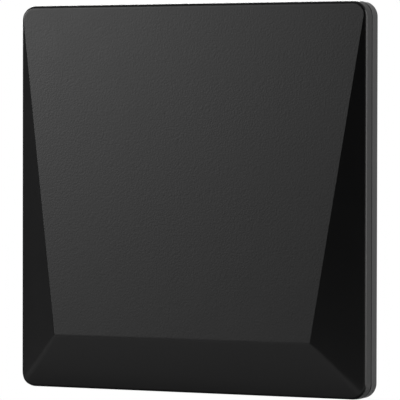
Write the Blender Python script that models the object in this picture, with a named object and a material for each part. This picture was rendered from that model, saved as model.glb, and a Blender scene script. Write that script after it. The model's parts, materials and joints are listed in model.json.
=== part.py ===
"""Flat signal booster panel on a wall bracket that swivels and tilts.

A faceted front cover and a shallow rear cover close round a reflector, two stacked patches and an
amplifier board. The rear cover is screwed to a bracket that tilts on an arm, the arm swivels on a
wall plate, and a knob clamps the tilt. Metres, +Z up, the front faces -Y. The origin is the middle
of the wall plate's back face.
"""

import math

import bmesh
import bpy
from mathutils import Vector

# Panel covers
PANEL_WIDTH = 0.210
PANEL_HEIGHT = 0.210
CORNER_RADIUS = 0.0085
FRONT_WALL_DEPTH = 0.0063
REAR_WALL_DEPTH = 0.0072
SEAM_GAP = 0.0006
DRAFT = 0.0002
COVER_WALL = 0.0022
RIM_FILLET = 0.0014
BACK_FILLET = 0.0005
LEAST_CORNER = 0.0008

# Facets of the front cover
CREST_RAISE = 0.0109
CREST_SIDE_INSET = 0.0275
CREST_BOTTOM_INSET = 0.0291
TOP_RAISE = 0.0001

# Tongue and seal in the seam
LIP_THICKNESS = 0.0012
LIP_OVERLAP = 0.0014
SEAL_WIDTH = 0.0010
SEAL_HEIGHT = 0.0010

# Clearances: GAP lies between pieces that touch
GAP = 0.0003
BOSS_CLEARANCE = 0.0010

# Cover screws and their bosses
COVER_SCREW_DIAMETER = 0.0030
COVER_SCREW_HEAD = 0.0054
COVER_SCREW_HEAD_HEIGHT = 0.0016
COVER_SCREW_BITE = 0.0075
BOSS_WALL = 0.0019
PAD_HEIGHT = 0.0015
PAD_WALL = 0.0013

# Form of every screw, as shares of its head's radius, its head's height and its shank's radius
HEAD_CROWN = 0.72
HEAD_RIM = 0.55
SCREW_POINT = 0.60

# Posts that carry the reflector and the board
POST_HEIGHT = 0.0040
POST_WALL = 0.0022
POST_FLOOR = 0.0016
POST_SCREW_DIAMETER = 0.0025
POST_SCREW_HEAD = 0.0046
POST_SCREW_HEAD_HEIGHT = 0.0014

# Reflector and patches
REFLECTOR_THICKNESS = 0.0010
REFLECTOR_TOP_MARGIN = 0.0090
REFLECTOR_SIDE_MARGIN = 0.0045
REFLECTOR_SCREW_INSET = 0.0080
PATCH_THICKNESS = 0.0008
DRIVEN_PATCH_SIZE = 0.100
PARASITIC_PATCH_SIZE = 0.080
PATCH_CORNER = 0.0060
PATCH_RISE = 0.0040
PATCH_BOTTOM_MARGIN = 0.0100
PATCH_COVER_CLEARANCE = 0.0014
SPACER_SPREAD = 0.060
SPACER_FOOT = 0.0070
SPACER_STEM = 0.0046
SPACER_PIN = 0.0024
FEED_PIN_DIAMETER = 0.0020
FEED_DROP = 0.0300
FEED_HOLE = 0.0060

# Amplifier board and what stands on it
BOARD_THICKNESS = 0.0016
BOARD_HEIGHT = 0.0340
BOARD_SIDE_MARGIN = 0.0170
BOARD_BOTTOM_MARGIN = 0.0050
BOARD_TOP_MARGIN = 0.0060
BOARD_SCREW_INSET = 0.0058
SHIELD_MARGIN = 0.0080
SHIELD_HEIGHT = 0.0250
SHIELD_DEPTH = 0.0050
SHIELD_WALL = 0.0005
CHIP_SIZE = 0.0090
CHIP_THICKNESS = 0.0014
FILTER_WIDTH = 0.0140
FILTER_HEIGHT = 0.0090
FILTER_DEPTH = 0.0040
FILTER_SPACING = 0.0140
PLUG_SIZE = 0.0050
PLUG_DEPTH = 0.0030
PLUG_X = 0.0260
PLUG_Z = 0.0060
PART_CHAMFER = 0.0002

# Leads inside: their routes are shares of the way across or inwards, and of the way along
PIGTAIL_DIAMETER = 0.0018
AERIAL_ROUTE = ((0.0, 0.0), (0.0, 0.2), (0.5, 0.55), (1.0, 0.85), (1.0, 1.0))
JACK_ROUTE = ((0.0, 0.0), (0.0, 0.3), (0.3, 0.75), (0.5, 0.9), (0.8, 0.9), (1.0, 0.9))

# Socket housing on the back, and the coaxial jack under it
HOUSING_WIDTH = 0.0320
HOUSING_HEIGHT = 0.0240
HOUSING_DEPTH = 0.0180
HOUSING_FILLET = 0.0020
HOUSING_RISE = 0.0200
JACK_DIAMETER = 0.0094
JACK_LENGTH = 0.0150
JACK_BORE = 0.0064
JACK_BORE_DEPTH = 0.0100
JACK_FLANGE = 0.0130
JACK_FLANGE_HEIGHT = 0.0030
JACK_TAIL_DIAMETER = 0.0020
JACK_TAIL = 0.0030
JACK_CONTACT = 0.0012
JACK_CHAMFER = 0.0005
SEAL_RING_SECTION = 0.0018
SEAL_RING_HEIGHT = 0.0010
JACK_WASHER_OUTER = 0.0150
JACK_WASHER_HEIGHT = 0.0008
JACK_NUT_FLATS = 0.0127
JACK_NUT_HEIGHT = 0.0030

# Panel bracket
TILT_OFFSET = 0.0180
BRACKET_PLATE_SIZE = 0.0600
BRACKET_PLATE_THICKNESS = 0.0030
BRACKET_PLATE_CORNER = 0.0060
BRACKET_HOLE_SPREAD = 0.0440
EAR_THICKNESS = 0.0030
EAR_RADIUS = 0.0090
BRACKET_SCREW_DIAMETER = 0.0040
BRACKET_SCREW_HEAD = 0.0076
BRACKET_SCREW_HEAD_HEIGHT = 0.0026
INSERT_WALL = 0.0010
INSERT_FLOOR = 0.0012

# Arm and wall plate
ARM_LENGTH = 0.0300
ARM_WIDTH = 0.0190
ARM_WEB = 0.0120
KNUCKLE_RADIUS = 0.0085
SWIVEL_OFFSET = 0.0140
WALL_PLATE_WIDTH = 0.0500
WALL_PLATE_HEIGHT = 0.0800
WALL_PLATE_THICKNESS = 0.0040
WALL_PLATE_CORNER = 0.0080
WALL_HOLE_DIAMETER = 0.0052
WALL_HOLE_SPREAD_X = 0.0340
WALL_HOLE_SPREAD_Z = 0.0600
LUG_THICKNESS = 0.0040

# Pivot bolts, washers, nut and knob
BOLT_DIAMETER = 0.0060
BOLT_HEAD_FLATS = 0.0100
BOLT_HEAD_HEIGHT = 0.0040
BOLT_CHAMFER = 0.0005
BOLT_TAIL = 0.0015
WASHER_DIAMETER = 0.0120
WASHER_THICKNESS = 0.0012
NUT_HEIGHT = 0.0050
KNOB_RADIUS = 0.0105
KNOB_LOBE_DEPTH = 0.0011
KNOB_LOBES = 6
KNOB_LENGTH = 0.0140
KNOB_CHAMFER = 0.0012
KNOB_CAP = 0.0030

# Fineness of round pieces
CORNER_STEPS = 6
PLATE_CORNER_STEPS = 3
FILLET_STEPS = 3
FINE_STEPS = 24
ROUND_STEPS = 12
SCREW_STEPS = 10
LOBE_STEPS = 8
LEAD_STEPS = 2
LEAD_POINTS = 16
CREASE_ANGLE = math.radians(22)

# Tolerances of cutting and joining
OVERCUT = 0.0050
MERGE_DISTANCE = 0.000001
PLANE_TOLERANCE = 0.0000001

# Places in the panel's frame, whose origin is on the tilt axis
BACK_Y = -TILT_OFFSET
SEAM_REAR_Y = BACK_Y - REAR_WALL_DEPTH
SEAM_FRONT_Y = SEAM_REAR_Y - SEAM_GAP
RIM_Y = SEAM_FRONT_Y - FRONT_WALL_DEPTH
CREST_Y = RIM_Y - CREST_RAISE
FLOOR_Y = BACK_Y - COVER_WALL
POST_TOP_Y = FLOOR_Y - POST_HEIGHT
PLATE_BACK_Y = POST_TOP_Y - GAP
HALF_WIDTH = PANEL_WIDTH / 2
HALF_HEIGHT = PANEL_HEIGHT / 2
CREST_Z = CREST_BOTTOM_INSET - HALF_HEIGHT
LIP_OUTER = COVER_WALL + GAP
LIP_INNER = LIP_OUTER + LIP_THICKNESS
GROOVE_OUTER = LIP_OUTER - SEAL_WIDTH - 2 * GAP
GROOVE_Y = SEAM_FRONT_Y + SEAL_HEIGHT + 2 * GAP

COVER_HOLE_RADIUS = COVER_SCREW_DIAMETER / 2 + GAP
BOSS_RADIUS = COVER_HOLE_RADIUS + BOSS_WALL
HEAD_RECESS_RADIUS = COVER_SCREW_HEAD / 2 + GAP
PAD_RADIUS = HEAD_RECESS_RADIUS + PAD_WALL
HEAD_SEAT_Y = BACK_Y - COVER_SCREW_HEAD_HEIGHT - GAP
PAD_TOP_Y = FLOOR_Y - PAD_HEIGHT
BOSS_END_Y = PAD_TOP_Y - GAP
CORNER_ROOM = CORNER_RADIUS - LIP_INNER - PAD_RADIUS - BOSS_CLEARANCE
WALL_ROOM = LIP_INNER + BOSS_CLEARANCE + PAD_RADIUS
SCREW_INSET = max(WALL_ROOM, CORNER_RADIUS - CORNER_ROOM / math.sqrt(2))
SCREW_X = HALF_WIDTH - SCREW_INSET
SCREW_Z = HALF_HEIGHT - SCREW_INSET

BOARD_HALF = SCREW_X - PAD_RADIUS - BOARD_SIDE_MARGIN
BOARD_BOTTOM = LIP_INNER + BOARD_BOTTOM_MARGIN - HALF_HEIGHT
BOARD_TOP = BOARD_BOTTOM + BOARD_HEIGHT
BOARD_MIDDLE = (BOARD_BOTTOM + BOARD_TOP) / 2
PART_SEAT_Y = PLATE_BACK_Y - BOARD_THICKNESS - GAP
POST_HOLE_RADIUS = POST_SCREW_DIAMETER / 2 + GAP
SHIELD_START = FILTER_WIDTH / 2 + SHIELD_MARGIN
SHIELD_END = BOARD_HALF - BOARD_SCREW_INSET - POST_SCREW_HEAD / 2 - SHIELD_MARGIN
SHIELD_MIDDLE = (SHIELD_START + SHIELD_END) / 2

REFLECTOR_HALF = SCREW_X - PAD_RADIUS - REFLECTOR_SIDE_MARGIN
REFLECTOR_BOTTOM = BOARD_TOP + BOARD_TOP_MARGIN
REFLECTOR_TOP = HALF_HEIGHT - LIP_INNER - REFLECTOR_TOP_MARGIN
REFLECTOR_FRONT_Y = PLATE_BACK_Y - REFLECTOR_THICKNESS
PATCH_Z = REFLECTOR_BOTTOM + PATCH_BOTTOM_MARGIN + DRIVEN_PATCH_SIZE / 2
DRIVEN_BACK_Y = REFLECTOR_FRONT_Y - PATCH_RISE
PIGTAIL_Y = (FLOOR_Y + PLATE_BACK_Y) / 2

HOUSING_BOTTOM = HOUSING_RISE - HALF_HEIGHT
HOUSING_TOP = HOUSING_BOTTOM + HOUSING_HEIGHT
HOUSING_BACK_Y = BACK_Y + HOUSING_DEPTH
JACK_Y = BACK_Y + HOUSING_DEPTH / 2
JACK_HOLE_RADIUS = JACK_DIAMETER / 2 + GAP
PLATE_FACE_Y = BACK_Y + GAP + BRACKET_PLATE_THICKNESS
EAR_INNER = ARM_WIDTH / 2 + GAP
EAR_OUTER = EAR_INNER + EAR_THICKNESS
INSERT_INNER = BRACKET_SCREW_DIAMETER / 2 + GAP
INSERT_OUTER = INSERT_INNER + INSERT_WALL
INSERT_LENGTH = COVER_WALL + POST_HEIGHT - INSERT_FLOOR - GAP
LUG_INNER = ARM_WIDTH / 2 + GAP
LUG_OUTER = LUG_INNER + LUG_THICKNESS
PIVOT_HOLE_RADIUS = BOLT_DIAMETER / 2 + GAP
KNOB_SEAT_X = EAR_OUTER + 2 * GAP + WASHER_THICKNESS


def clear_scene():
    """Remove every object of the scene."""
    for piece in list(bpy.data.objects):
        bpy.data.objects.remove(piece, do_unlink=True)


def finish(name, colour, roughness, metallic=0.0):
    """A plain material of one colour."""
    material = bpy.data.materials.new(name)
    material.use_nodes = True
    shader = material.node_tree.nodes["Principled BSDF"]
    shader.inputs["Base Color"].default_value = (*colour, 1.0)
    shader.inputs["Roughness"].default_value = roughness
    shader.inputs["Metallic"].default_value = metallic
    return material


def pivot(name, location, parent=None):
    """An empty on a joint's axis."""
    empty = bpy.data.objects.new(name, None)
    bpy.context.scene.collection.objects.link(empty)
    empty.parent = parent
    empty.location = location
    return empty


def shade(mesh):
    """Smooth shading with sharp creases."""
    mesh.shade_smooth()
    mesh.set_sharp_from_angle(angle=CREASE_ANGLE)


def mesh_of(name, bm, material):
    """Turn a closed bmesh into a mesh with its faces outwards."""
    bmesh.ops.recalc_face_normals(bm, faces=bm.faces)
    mesh = bpy.data.meshes.new(name)
    bm.to_mesh(mesh)
    bm.free()
    mesh.materials.append(material)
    shade(mesh)
    return mesh


def place(name, mesh, parent, location=(0.0, 0.0, 0.0)):
    """One named object, at a location in its parent's frame."""
    piece = bpy.data.objects.new(name, mesh)
    bpy.context.scene.collection.objects.link(piece)
    piece.parent = parent
    piece.location = location
    return piece


def shape(piece, *steps):
    """Add or cut (operation, bmesh) steps, one after the other, and keep the result as the mesh."""
    material = piece.data.materials[0]
    for operation, bm in steps:
        tool = place(f"{piece.name}_tool", mesh_of("tool", bm, material), piece.parent, piece.location)
        tool.hide_render = True
        tool.display_type = "WIRE"
        boolean = piece.modifiers.new("shape", "BOOLEAN")
        boolean.operation = operation
        boolean.solver = "EXACT"
        boolean.object = tool
        bpy.context.view_layer.update()
        evaluated = piece.evaluated_get(bpy.context.evaluated_depsgraph_get())
        piece.data = bpy.data.meshes.new_from_object(evaluated)
        piece.modifiers.clear()
        bpy.data.objects.remove(tool, do_unlink=True)
        merge_seams(piece.data)
    shade(piece.data)
    return piece


def merge_seams(mesh):
    """Join points that a cut left in the same place."""
    bm = bmesh.new()
    bm.from_mesh(mesh)
    bmesh.ops.remove_doubles(bm, verts=bm.verts, dist=MERGE_DISTANCE)
    bmesh.ops.dissolve_degenerate(bm, edges=bm.edges, dist=MERGE_DISTANCE)
    bm.to_mesh(mesh)
    bm.free()


def add_loft(bm, rings, endless=False):
    """Skin between rings of equally many points; close both ends, or join the last to the first."""
    loops = [[bm.verts.new(point) for point in ring] for ring in rings]
    pairs = list(zip(loops, loops[1:]))
    if endless:
        pairs.append((loops[-1], loops[0]))
    for first, second in pairs:
        for index in range(len(first)):
            following = (index + 1) % len(first)
            bm.faces.new((first[index], first[following], second[following], second[index]))
    if not endless:
        bm.faces.new(loops[0])
        bm.faces.new(loops[-1])


def add_turned(bm, profile, steps, axis, centre=(0.0, 0.0, 0.0)):
    """Turn (radius, height) points round an axis: a rod, or a ring where no radius is 0."""
    loops = []
    for radius, height in profile:
        count = steps if radius > 0 else 1
        loop = []
        for index in range(count):
            angle = 2 * math.pi * index / steps
            point = [radius * math.cos(angle), radius * math.sin(angle)]
            point.insert("XYZ".index(axis), height)
            loop.append(bm.verts.new(Vector(point) + Vector(centre)))
        loops.append(loop)
    pairs = list(zip(loops, loops[1:]))
    if profile[0][0] > 0:
        pairs.append((loops[-1], loops[0]))
    for first, second in pairs:
        for index in range(steps):
            following = (index + 1) % steps
            corners = [first[index % len(first)], first[following % len(first)]]
            corners += [second[following % len(second)], second[index % len(second)]]
            bm.faces.new(list(dict.fromkeys(corners)))


def add_rod(bm, radius, low, high, steps, axis, centre=(0.0, 0.0, 0.0)):
    """A plain cylinder along an axis."""
    add_turned(bm, [(0, low), (radius, low), (radius, high), (0, high)], steps, axis, centre)


def add_box(bm, low, high):
    """A block between two corners."""
    corners = ((low[0], low[2]), (high[0], low[2]), (high[0], high[2]), (low[0], high[2]))
    add_loft(bm, [[(x, y, z) for x, z in corners] for y in (low[1], high[1])])


def rounded_outline(half_width, half_height, radius, steps=CORNER_STEPS):
    """A rectangle with round corners, as (across, up) points."""
    points = []
    for quarter, (side, up) in enumerate(((1, 1), (-1, 1), (-1, -1), (1, -1))):
        for step in range(steps + 1):
            angle = math.pi / 2 * (quarter + step / steps)
            across = side * (half_width - radius) + radius * math.cos(angle)
            points.append((across, up * (half_height - radius) + radius * math.sin(angle)))
    return points


def panel_ring(inset, y):
    """The panel's outline drawn in by an inset, at a depth."""
    radius = max(CORNER_RADIUS - inset, LEAST_CORNER)
    outline = rounded_outline(HALF_WIDTH - inset, HALF_HEIGHT - inset, radius)
    return [(x, y, z) for x, z in outline]


def back_fillet_profile():
    """Insets and depths round the rear cover's outer edge, from the back face to the wall."""
    points = []
    for step in range(FILLET_STEPS + 1):
        angle = math.pi / 2 * step / FILLET_STEPS
        inset = DRAFT + BACK_FILLET * (1 - math.sin(angle))
        points.append((inset, BACK_Y - BACK_FILLET * (1 - math.cos(angle))))
    return points


def front_planes():
    """A point and the outward normal of the middle face, both side facets and the bottom facet."""
    rim_x = HALF_WIDTH - DRAFT
    rim_z = HALF_HEIGHT - DRAFT
    fall = CREST_RAISE - TOP_RAISE
    run = HALF_HEIGHT - CREST_Z
    return [
        (Vector((0, CREST_Y, CREST_Z)), Vector((0, -run, fall)).normalized()),
        (Vector((rim_x, RIM_Y, 0)), Vector((CREST_RAISE, -CREST_SIDE_INSET, 0)).normalized()),
        (Vector((-rim_x, RIM_Y, 0)), Vector((-CREST_RAISE, -CREST_SIDE_INSET, 0)).normalized()),
        (Vector((0, RIM_Y, -rim_z)), Vector((0, -CREST_BOTTOM_INSET, -CREST_RAISE)).normalized()),
    ]


def trim_to_front(bm, inset):
    """Cut a closed shape off along the four front planes, drawn in by an inset."""
    for point, normal in front_planes():
        cut = bmesh.ops.bisect_plane(
            bm,
            geom=bm.verts[:] + bm.edges[:] + bm.faces[:],
            dist=PLANE_TOLERANCE,
            plane_co=point - normal * inset,
            plane_no=normal,
            clear_outer=True,
        )
        edges = [item for item in cut["geom_cut"] if isinstance(item, bmesh.types.BMEdge)]
        if edges:
            bmesh.ops.edgeloop_fill(bm, edges=edges)


def inner_front_y(z, inset):
    """Depth of the middle face, drawn in by an inset, at a height."""
    point, normal = front_planes()[0]
    start = point - normal * inset
    return start.y - (z - start.z) * normal.z / normal.y


def cover_screw_places():
    """Four corners and the middle of both sides."""
    return [(x, z) for x in (-SCREW_X, SCREW_X) for z in (-SCREW_Z, 0.0, SCREW_Z)]


def reflector_post_places():
    """Near the reflector's four corners."""
    across = REFLECTOR_HALF - REFLECTOR_SCREW_INSET
    heights = (REFLECTOR_BOTTOM + REFLECTOR_SCREW_INSET, REFLECTOR_TOP - REFLECTOR_SCREW_INSET)
    return [(x, z) for x in (-across, across) for z in heights]


def board_post_places():
    """Near the board's four corners."""
    across = BOARD_HALF - BOARD_SCREW_INSET
    heights = (BOARD_BOTTOM + BOARD_SCREW_INSET, BOARD_TOP - BOARD_SCREW_INSET)
    return [(x, z) for x in (-across, across) for z in heights]


def square_places(spread, middle=0.0):
    """The corners of a square about the panel's middle line."""
    return [(x, middle + z) for x in (-spread / 2, spread / 2) for z in (-spread / 2, spread / 2)]


def is_rim(edge):
    """Whether an edge lies between a face that looks forwards and one that looks sideways."""
    forwards = sorted(-face.normal.y for face in edge.link_faces)
    return forwards[0] < 0.3 and forwards[-1] > 0.5


def make_front_cover(panel, black):
    """The faceted cover: a trimmed block, hollowed, with six screw bosses."""
    front_end = CREST_Y - OVERCUT
    draft_end = DRAFT * (SEAM_FRONT_Y - front_end) / FRONT_WALL_DEPTH
    bm = bmesh.new()
    add_loft(bm, [panel_ring(0.0, SEAM_FRONT_Y), panel_ring(draft_end, front_end)])
    trim_to_front(bm, 0.0)
    bmesh.ops.recalc_face_normals(bm, faces=bm.faces)
    rim = [edge for edge in bm.edges if is_rim(edge)]
    bmesh.ops.bevel(bm, geom=rim, offset=RIM_FILLET, segments=2, profile=0.5, affect="EDGES")
    cover = place("front_cover", mesh_of("front_cover", bm, black), panel)

    hollow = bmesh.new()
    open_ring = panel_ring(COVER_WALL, SEAM_FRONT_Y + OVERCUT)
    add_loft(hollow, [open_ring, panel_ring(COVER_WALL + draft_end, front_end)])
    trim_to_front(hollow, COVER_WALL)

    bosses = bmesh.new()
    holes = bmesh.new()
    hole_end = HEAD_SEAT_Y - COVER_SCREW_BITE - GAP
    for x, z in cover_screw_places():
        boss = bmesh.new()
        add_rod(boss, BOSS_RADIUS, front_end, BOSS_END_Y, ROUND_STEPS, "Y", (x, 0, z))
        trim_to_front(boss, COVER_WALL / 2)
        kept = bpy.data.meshes.new("boss")
        boss.to_mesh(kept)
        boss.free()
        bosses.from_mesh(kept)
        bpy.data.meshes.remove(kept)
        add_rod(holes, COVER_HOLE_RADIUS, hole_end, BOSS_END_Y + OVERCUT, SCREW_STEPS, "Y", (x, 0, z))
    shape(cover, ("DIFFERENCE", hollow), ("UNION", bosses), ("DIFFERENCE", holes))


def make_rear_cover(panel, black):
    """The shallow tray with its tongue, pads, posts, insert bosses and the way to the housing."""
    profile = back_fillet_profile()
    profile += [(0.0, SEAM_REAR_Y), (GROOVE_OUTER, SEAM_REAR_Y), (GROOVE_OUTER, GROOVE_Y)]
    profile += [(LIP_OUTER, GROOVE_Y), (LIP_OUTER, SEAM_FRONT_Y - LIP_OVERLAP)]
    profile += [(LIP_INNER, SEAM_FRONT_Y - LIP_OVERLAP), (LIP_INNER, FLOOR_Y)]
    bm = bmesh.new()
    add_loft(bm, [panel_ring(inset, y) for inset, y in profile])
    cover = place("rear_cover", mesh_of("rear_cover", bm, black), panel)

    root = (FLOOR_Y + BACK_Y) / 2
    posts = bmesh.new()
    holes = bmesh.new()
    for x, z in cover_screw_places():
        add_rod(posts, PAD_RADIUS, PAD_TOP_Y, root, ROUND_STEPS, "Y", (x, 0, z))
        step = [(0, PAD_TOP_Y - OVERCUT), (COVER_HOLE_RADIUS, PAD_TOP_Y - OVERCUT)]
        step += [(COVER_HOLE_RADIUS, HEAD_SEAT_Y), (HEAD_RECESS_RADIUS, HEAD_SEAT_Y)]
        step += [(HEAD_RECESS_RADIUS, BACK_Y + OVERCUT), (0, BACK_Y + OVERCUT)]
        add_turned(holes, step, ROUND_STEPS, "Y", (x, 0, z))
    post_end = BACK_Y - POST_FLOOR
    for x, z in reflector_post_places() + board_post_places():
        add_rod(posts, POST_HOLE_RADIUS + POST_WALL, POST_TOP_Y, root, ROUND_STEPS, "Y", (x, 0, z))
        add_rod(holes, POST_HOLE_RADIUS, POST_TOP_Y - OVERCUT, post_end, SCREW_STEPS, "Y", (x, 0, z))
    insert_hole = INSERT_OUTER + GAP
    insert_end = BACK_Y - INSERT_LENGTH - GAP
    for x, z in square_places(BRACKET_HOLE_SPREAD):
        add_rod(posts, insert_hole + BOSS_WALL, POST_TOP_Y, root, ROUND_STEPS, "Y", (x, 0, z))
        add_rod(holes, insert_hole, insert_end, BACK_Y + OVERCUT, ROUND_STEPS, "Y", (x, 0, z))

    way = bmesh.new()
    add_housing_room(way, FLOOR_Y - OVERCUT, BACK_Y + OVERCUT)
    shape(cover, ("UNION", posts), ("DIFFERENCE", holes), ("DIFFERENCE", way))


def add_housing_room(bm, near, far):
    """The room inside the socket housing, between two depths."""
    side = HOUSING_WIDTH / 2 - COVER_WALL
    add_box(bm, (-side, near, HOUSING_BOTTOM + COVER_WALL), (side, far, HOUSING_TOP - COVER_WALL))


def make_socket_housing(panel, black):
    """The box on the back that holds the jack, open towards the rear cover that it is welded to."""
    near = BACK_Y + GAP
    side = HOUSING_WIDTH / 2
    bm = bmesh.new()
    add_box(bm, (-side, near, HOUSING_BOTTOM), (side, HOUSING_BACK_Y, HOUSING_TOP))
    edges = [edge for edge in bm.edges if max(vert.co.y for vert in edge.verts) > JACK_Y]
    bmesh.ops.bevel(bm, geom=edges, offset=HOUSING_FILLET, segments=2, profile=0.5, affect="EDGES")
    housing = place("socket_housing", mesh_of("socket_housing", bm, black), panel)
    room = bmesh.new()
    add_housing_room(room, near - OVERCUT, HOUSING_BACK_Y - COVER_WALL)
    low = HOUSING_BOTTOM - OVERCUT
    jack_hole = bmesh.new()
    add_rod(jack_hole, JACK_HOLE_RADIUS, low, low + 2 * OVERCUT, FINE_STEPS, "Z", (0, JACK_Y, 0))
    shape(housing, ("DIFFERENCE", room), ("DIFFERENCE", jack_hole))


def make_cover_seal(panel, rubber):
    """The rubber cord, laid as a flat ring in the seam's groove."""
    outer = GROOVE_OUTER + GAP
    inner = outer + SEAL_WIDTH
    near = SEAM_FRONT_Y + GAP
    far = near + SEAL_HEIGHT
    section = ((outer, near), (outer, far), (inner, far), (inner, near))
    bm = bmesh.new()
    add_loft(bm, [panel_ring(inset, y) for inset, y in section], endless=True)
    place("cover_seal", mesh_of("cover_seal", bm, rubber), panel)


def screw_mesh(name, size, length, side, material):
    """A pan-head screw of size (diameter, head, head height), its head on one side of 0 along Y."""
    shank = size[0] / 2
    top = size[1] / 2
    tip = shank * SCREW_POINT
    profile = [(0, -length), (tip, -length), (shank, tip - length), (shank, 0), (top, 0)]
    profile += [(top, size[2] * HEAD_RIM), (top * HEAD_CROWN, size[2]), (0, size[2])]
    bm = bmesh.new()
    add_turned(bm, [(radius, side * height) for radius, height in profile], SCREW_STEPS, "Y")
    return mesh_of(name, bm, material)


def make_cover_screws(panel, steel):
    """Six screws from the back, through the rear cover into the front cover's bosses."""
    size = (COVER_SCREW_DIAMETER, COVER_SCREW_HEAD, COVER_SCREW_HEAD_HEIGHT)
    mesh = screw_mesh("cover_screw", size, COVER_SCREW_BITE, 1, steel)
    for number, (x, z) in enumerate(cover_screw_places(), 1):
        place(f"cover_screw_{number}", mesh, panel, (x, HEAD_SEAT_Y + GAP, z))


def make_post_screws(panel, name, places, plate_thickness, steel):
    """Screws from the front, through a plate into the rear cover's posts."""
    head_y = PLATE_BACK_Y - plate_thickness - GAP
    size = (POST_SCREW_DIAMETER, POST_SCREW_HEAD, POST_SCREW_HEAD_HEIGHT)
    mesh = screw_mesh(name, size, BACK_Y - POST_FLOOR - GAP - head_y, -1, steel)
    for number, (x, z) in enumerate(places, 1):
        place(f"{name}_{number}", mesh, panel, (x, head_y, z))


def make_plate(parent, name, area, levels, corner, holes, material):
    """A flat plate: area (half width, bottom, top), two levels along Y and (x, z, radius) holes."""
    half_width, bottom, top = area
    middle = (bottom + top) / 2
    outline = rounded_outline(half_width, (top - bottom) / 2, corner, PLATE_CORNER_STEPS)
    bm = bmesh.new()
    add_loft(bm, [[(x, y, middle + z) for x, z in outline] for y in levels])
    plate = place(name, mesh_of(name, bm, material), parent)
    cutter = bmesh.new()
    for x, z, radius in holes:
        near = min(levels) - OVERCUT
        add_rod(cutter, radius, near, max(levels) + OVERCUT, SCREW_STEPS, "Y", (x, 0, z))
    return shape(plate, ("DIFFERENCE", cutter))


def make_antenna(panel, aluminium, copper, nylon, brass):
    """Reflector, driven patch, parasitic patch, their four spacers and the feed pin."""
    spacers = square_places(SPACER_SPREAD, PATCH_Z)
    feed_z = PATCH_Z - FEED_DROP
    pin = SPACER_PIN / 2
    stem = SPACER_STEM / 2
    foot = SPACER_FOOT / 2
    holes = [(x, z, POST_HOLE_RADIUS) for x, z in reflector_post_places()]
    holes += [(x, z, pin + GAP) for x, z in spacers]
    holes.append((0.0, feed_z, FEED_HOLE / 2))
    area = (REFLECTOR_HALF, REFLECTOR_BOTTOM, REFLECTOR_TOP)
    levels = (PLATE_BACK_Y, REFLECTOR_FRONT_Y)
    make_plate(panel, "reflector_plate", area, levels, PATCH_CORNER, holes, aluminium)

    half = DRIVEN_PATCH_SIZE / 2
    area = (half, PATCH_Z - half, PATCH_Z + half)
    levels = (DRIVEN_BACK_Y, DRIVEN_BACK_Y - PATCH_THICKNESS)
    holes = [(x, z, stem + GAP) for x, z in spacers]
    make_plate(panel, "driven_patch", area, levels, PATCH_CORNER, holes, copper)

    half = PARASITIC_PATCH_SIZE / 2
    area = (half, PATCH_Z - half, PATCH_Z + half)
    top_front = inner_front_y(PATCH_Z + half, COVER_WALL) + PATCH_COVER_CLEARANCE
    top_back = top_front + PATCH_THICKNESS
    holes = [(x, z, pin + GAP) for x, z in spacers]
    make_plate(panel, "parasitic_patch", area, (top_back, top_front), PATCH_CORNER, holes, copper)

    foot_y = REFLECTOR_FRONT_Y - GAP
    stem_y = DRIVEN_BACK_Y + GAP
    shoulder = top_back + GAP
    profile = [(0, PLATE_BACK_Y), (pin, PLATE_BACK_Y), (pin, foot_y), (foot, foot_y), (foot, stem_y)]
    profile += [(stem, stem_y), (stem, shoulder), (pin, shoulder), (pin, top_front), (0, top_front)]
    bm = bmesh.new()
    add_turned(bm, profile, SCREW_STEPS, "Y")
    mesh = mesh_of("patch_spacer", bm, nylon)
    for number, (x, z) in enumerate(spacers, 1):
        place(f"patch_spacer_{number}", mesh, panel, (x, 0, z))

    tail = PIGTAIL_Y + PIGTAIL_DIAMETER / 2
    bm = bmesh.new()
    add_rod(bm, FEED_PIN_DIAMETER / 2, DRIVEN_BACK_Y + GAP, tail, SCREW_STEPS, "Y")
    place("feed_pin", mesh_of("feed_pin", bm, brass), panel, (0, 0, feed_z))


def make_block(panel, name, middle, size, material):
    """A chamfered block about a middle point."""
    bm = bmesh.new()
    low = [centre - length / 2 for centre, length in zip(middle, size)]
    high = [centre + length / 2 for centre, length in zip(middle, size)]
    add_box(bm, low, high)
    bmesh.ops.bevel(bm, geom=bm.edges[:], offset=PART_CHAMFER, segments=1, affect="EDGES")
    place(name, mesh_of(name, bm, material), panel)


def make_shield(panel, name, x, tin):
    """A pressed lid, open towards the board."""
    near = PART_SEAT_Y
    far = near - SHIELD_DEPTH
    wall = SHIELD_WALL
    sections = [(2 * wall, far + wall), (wall, far + 2 * wall), (wall, near)]
    sections += [(0.0, near), (0.0, far + wall), (wall, far)]
    width = (SHIELD_END - SHIELD_START) / 2
    height = SHIELD_HEIGHT / 2
    rings = []
    for inset, y in sections:
        corner = 3 * wall - inset
        outline = rounded_outline(width - inset, height - inset, corner, PLATE_CORNER_STEPS)
        rings.append([(x + across, y, BOARD_MIDDLE + up) for across, up in outline])
    bm = bmesh.new()
    add_loft(bm, rings)
    place(name, mesh_of(name, bm, tin), panel)


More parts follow.
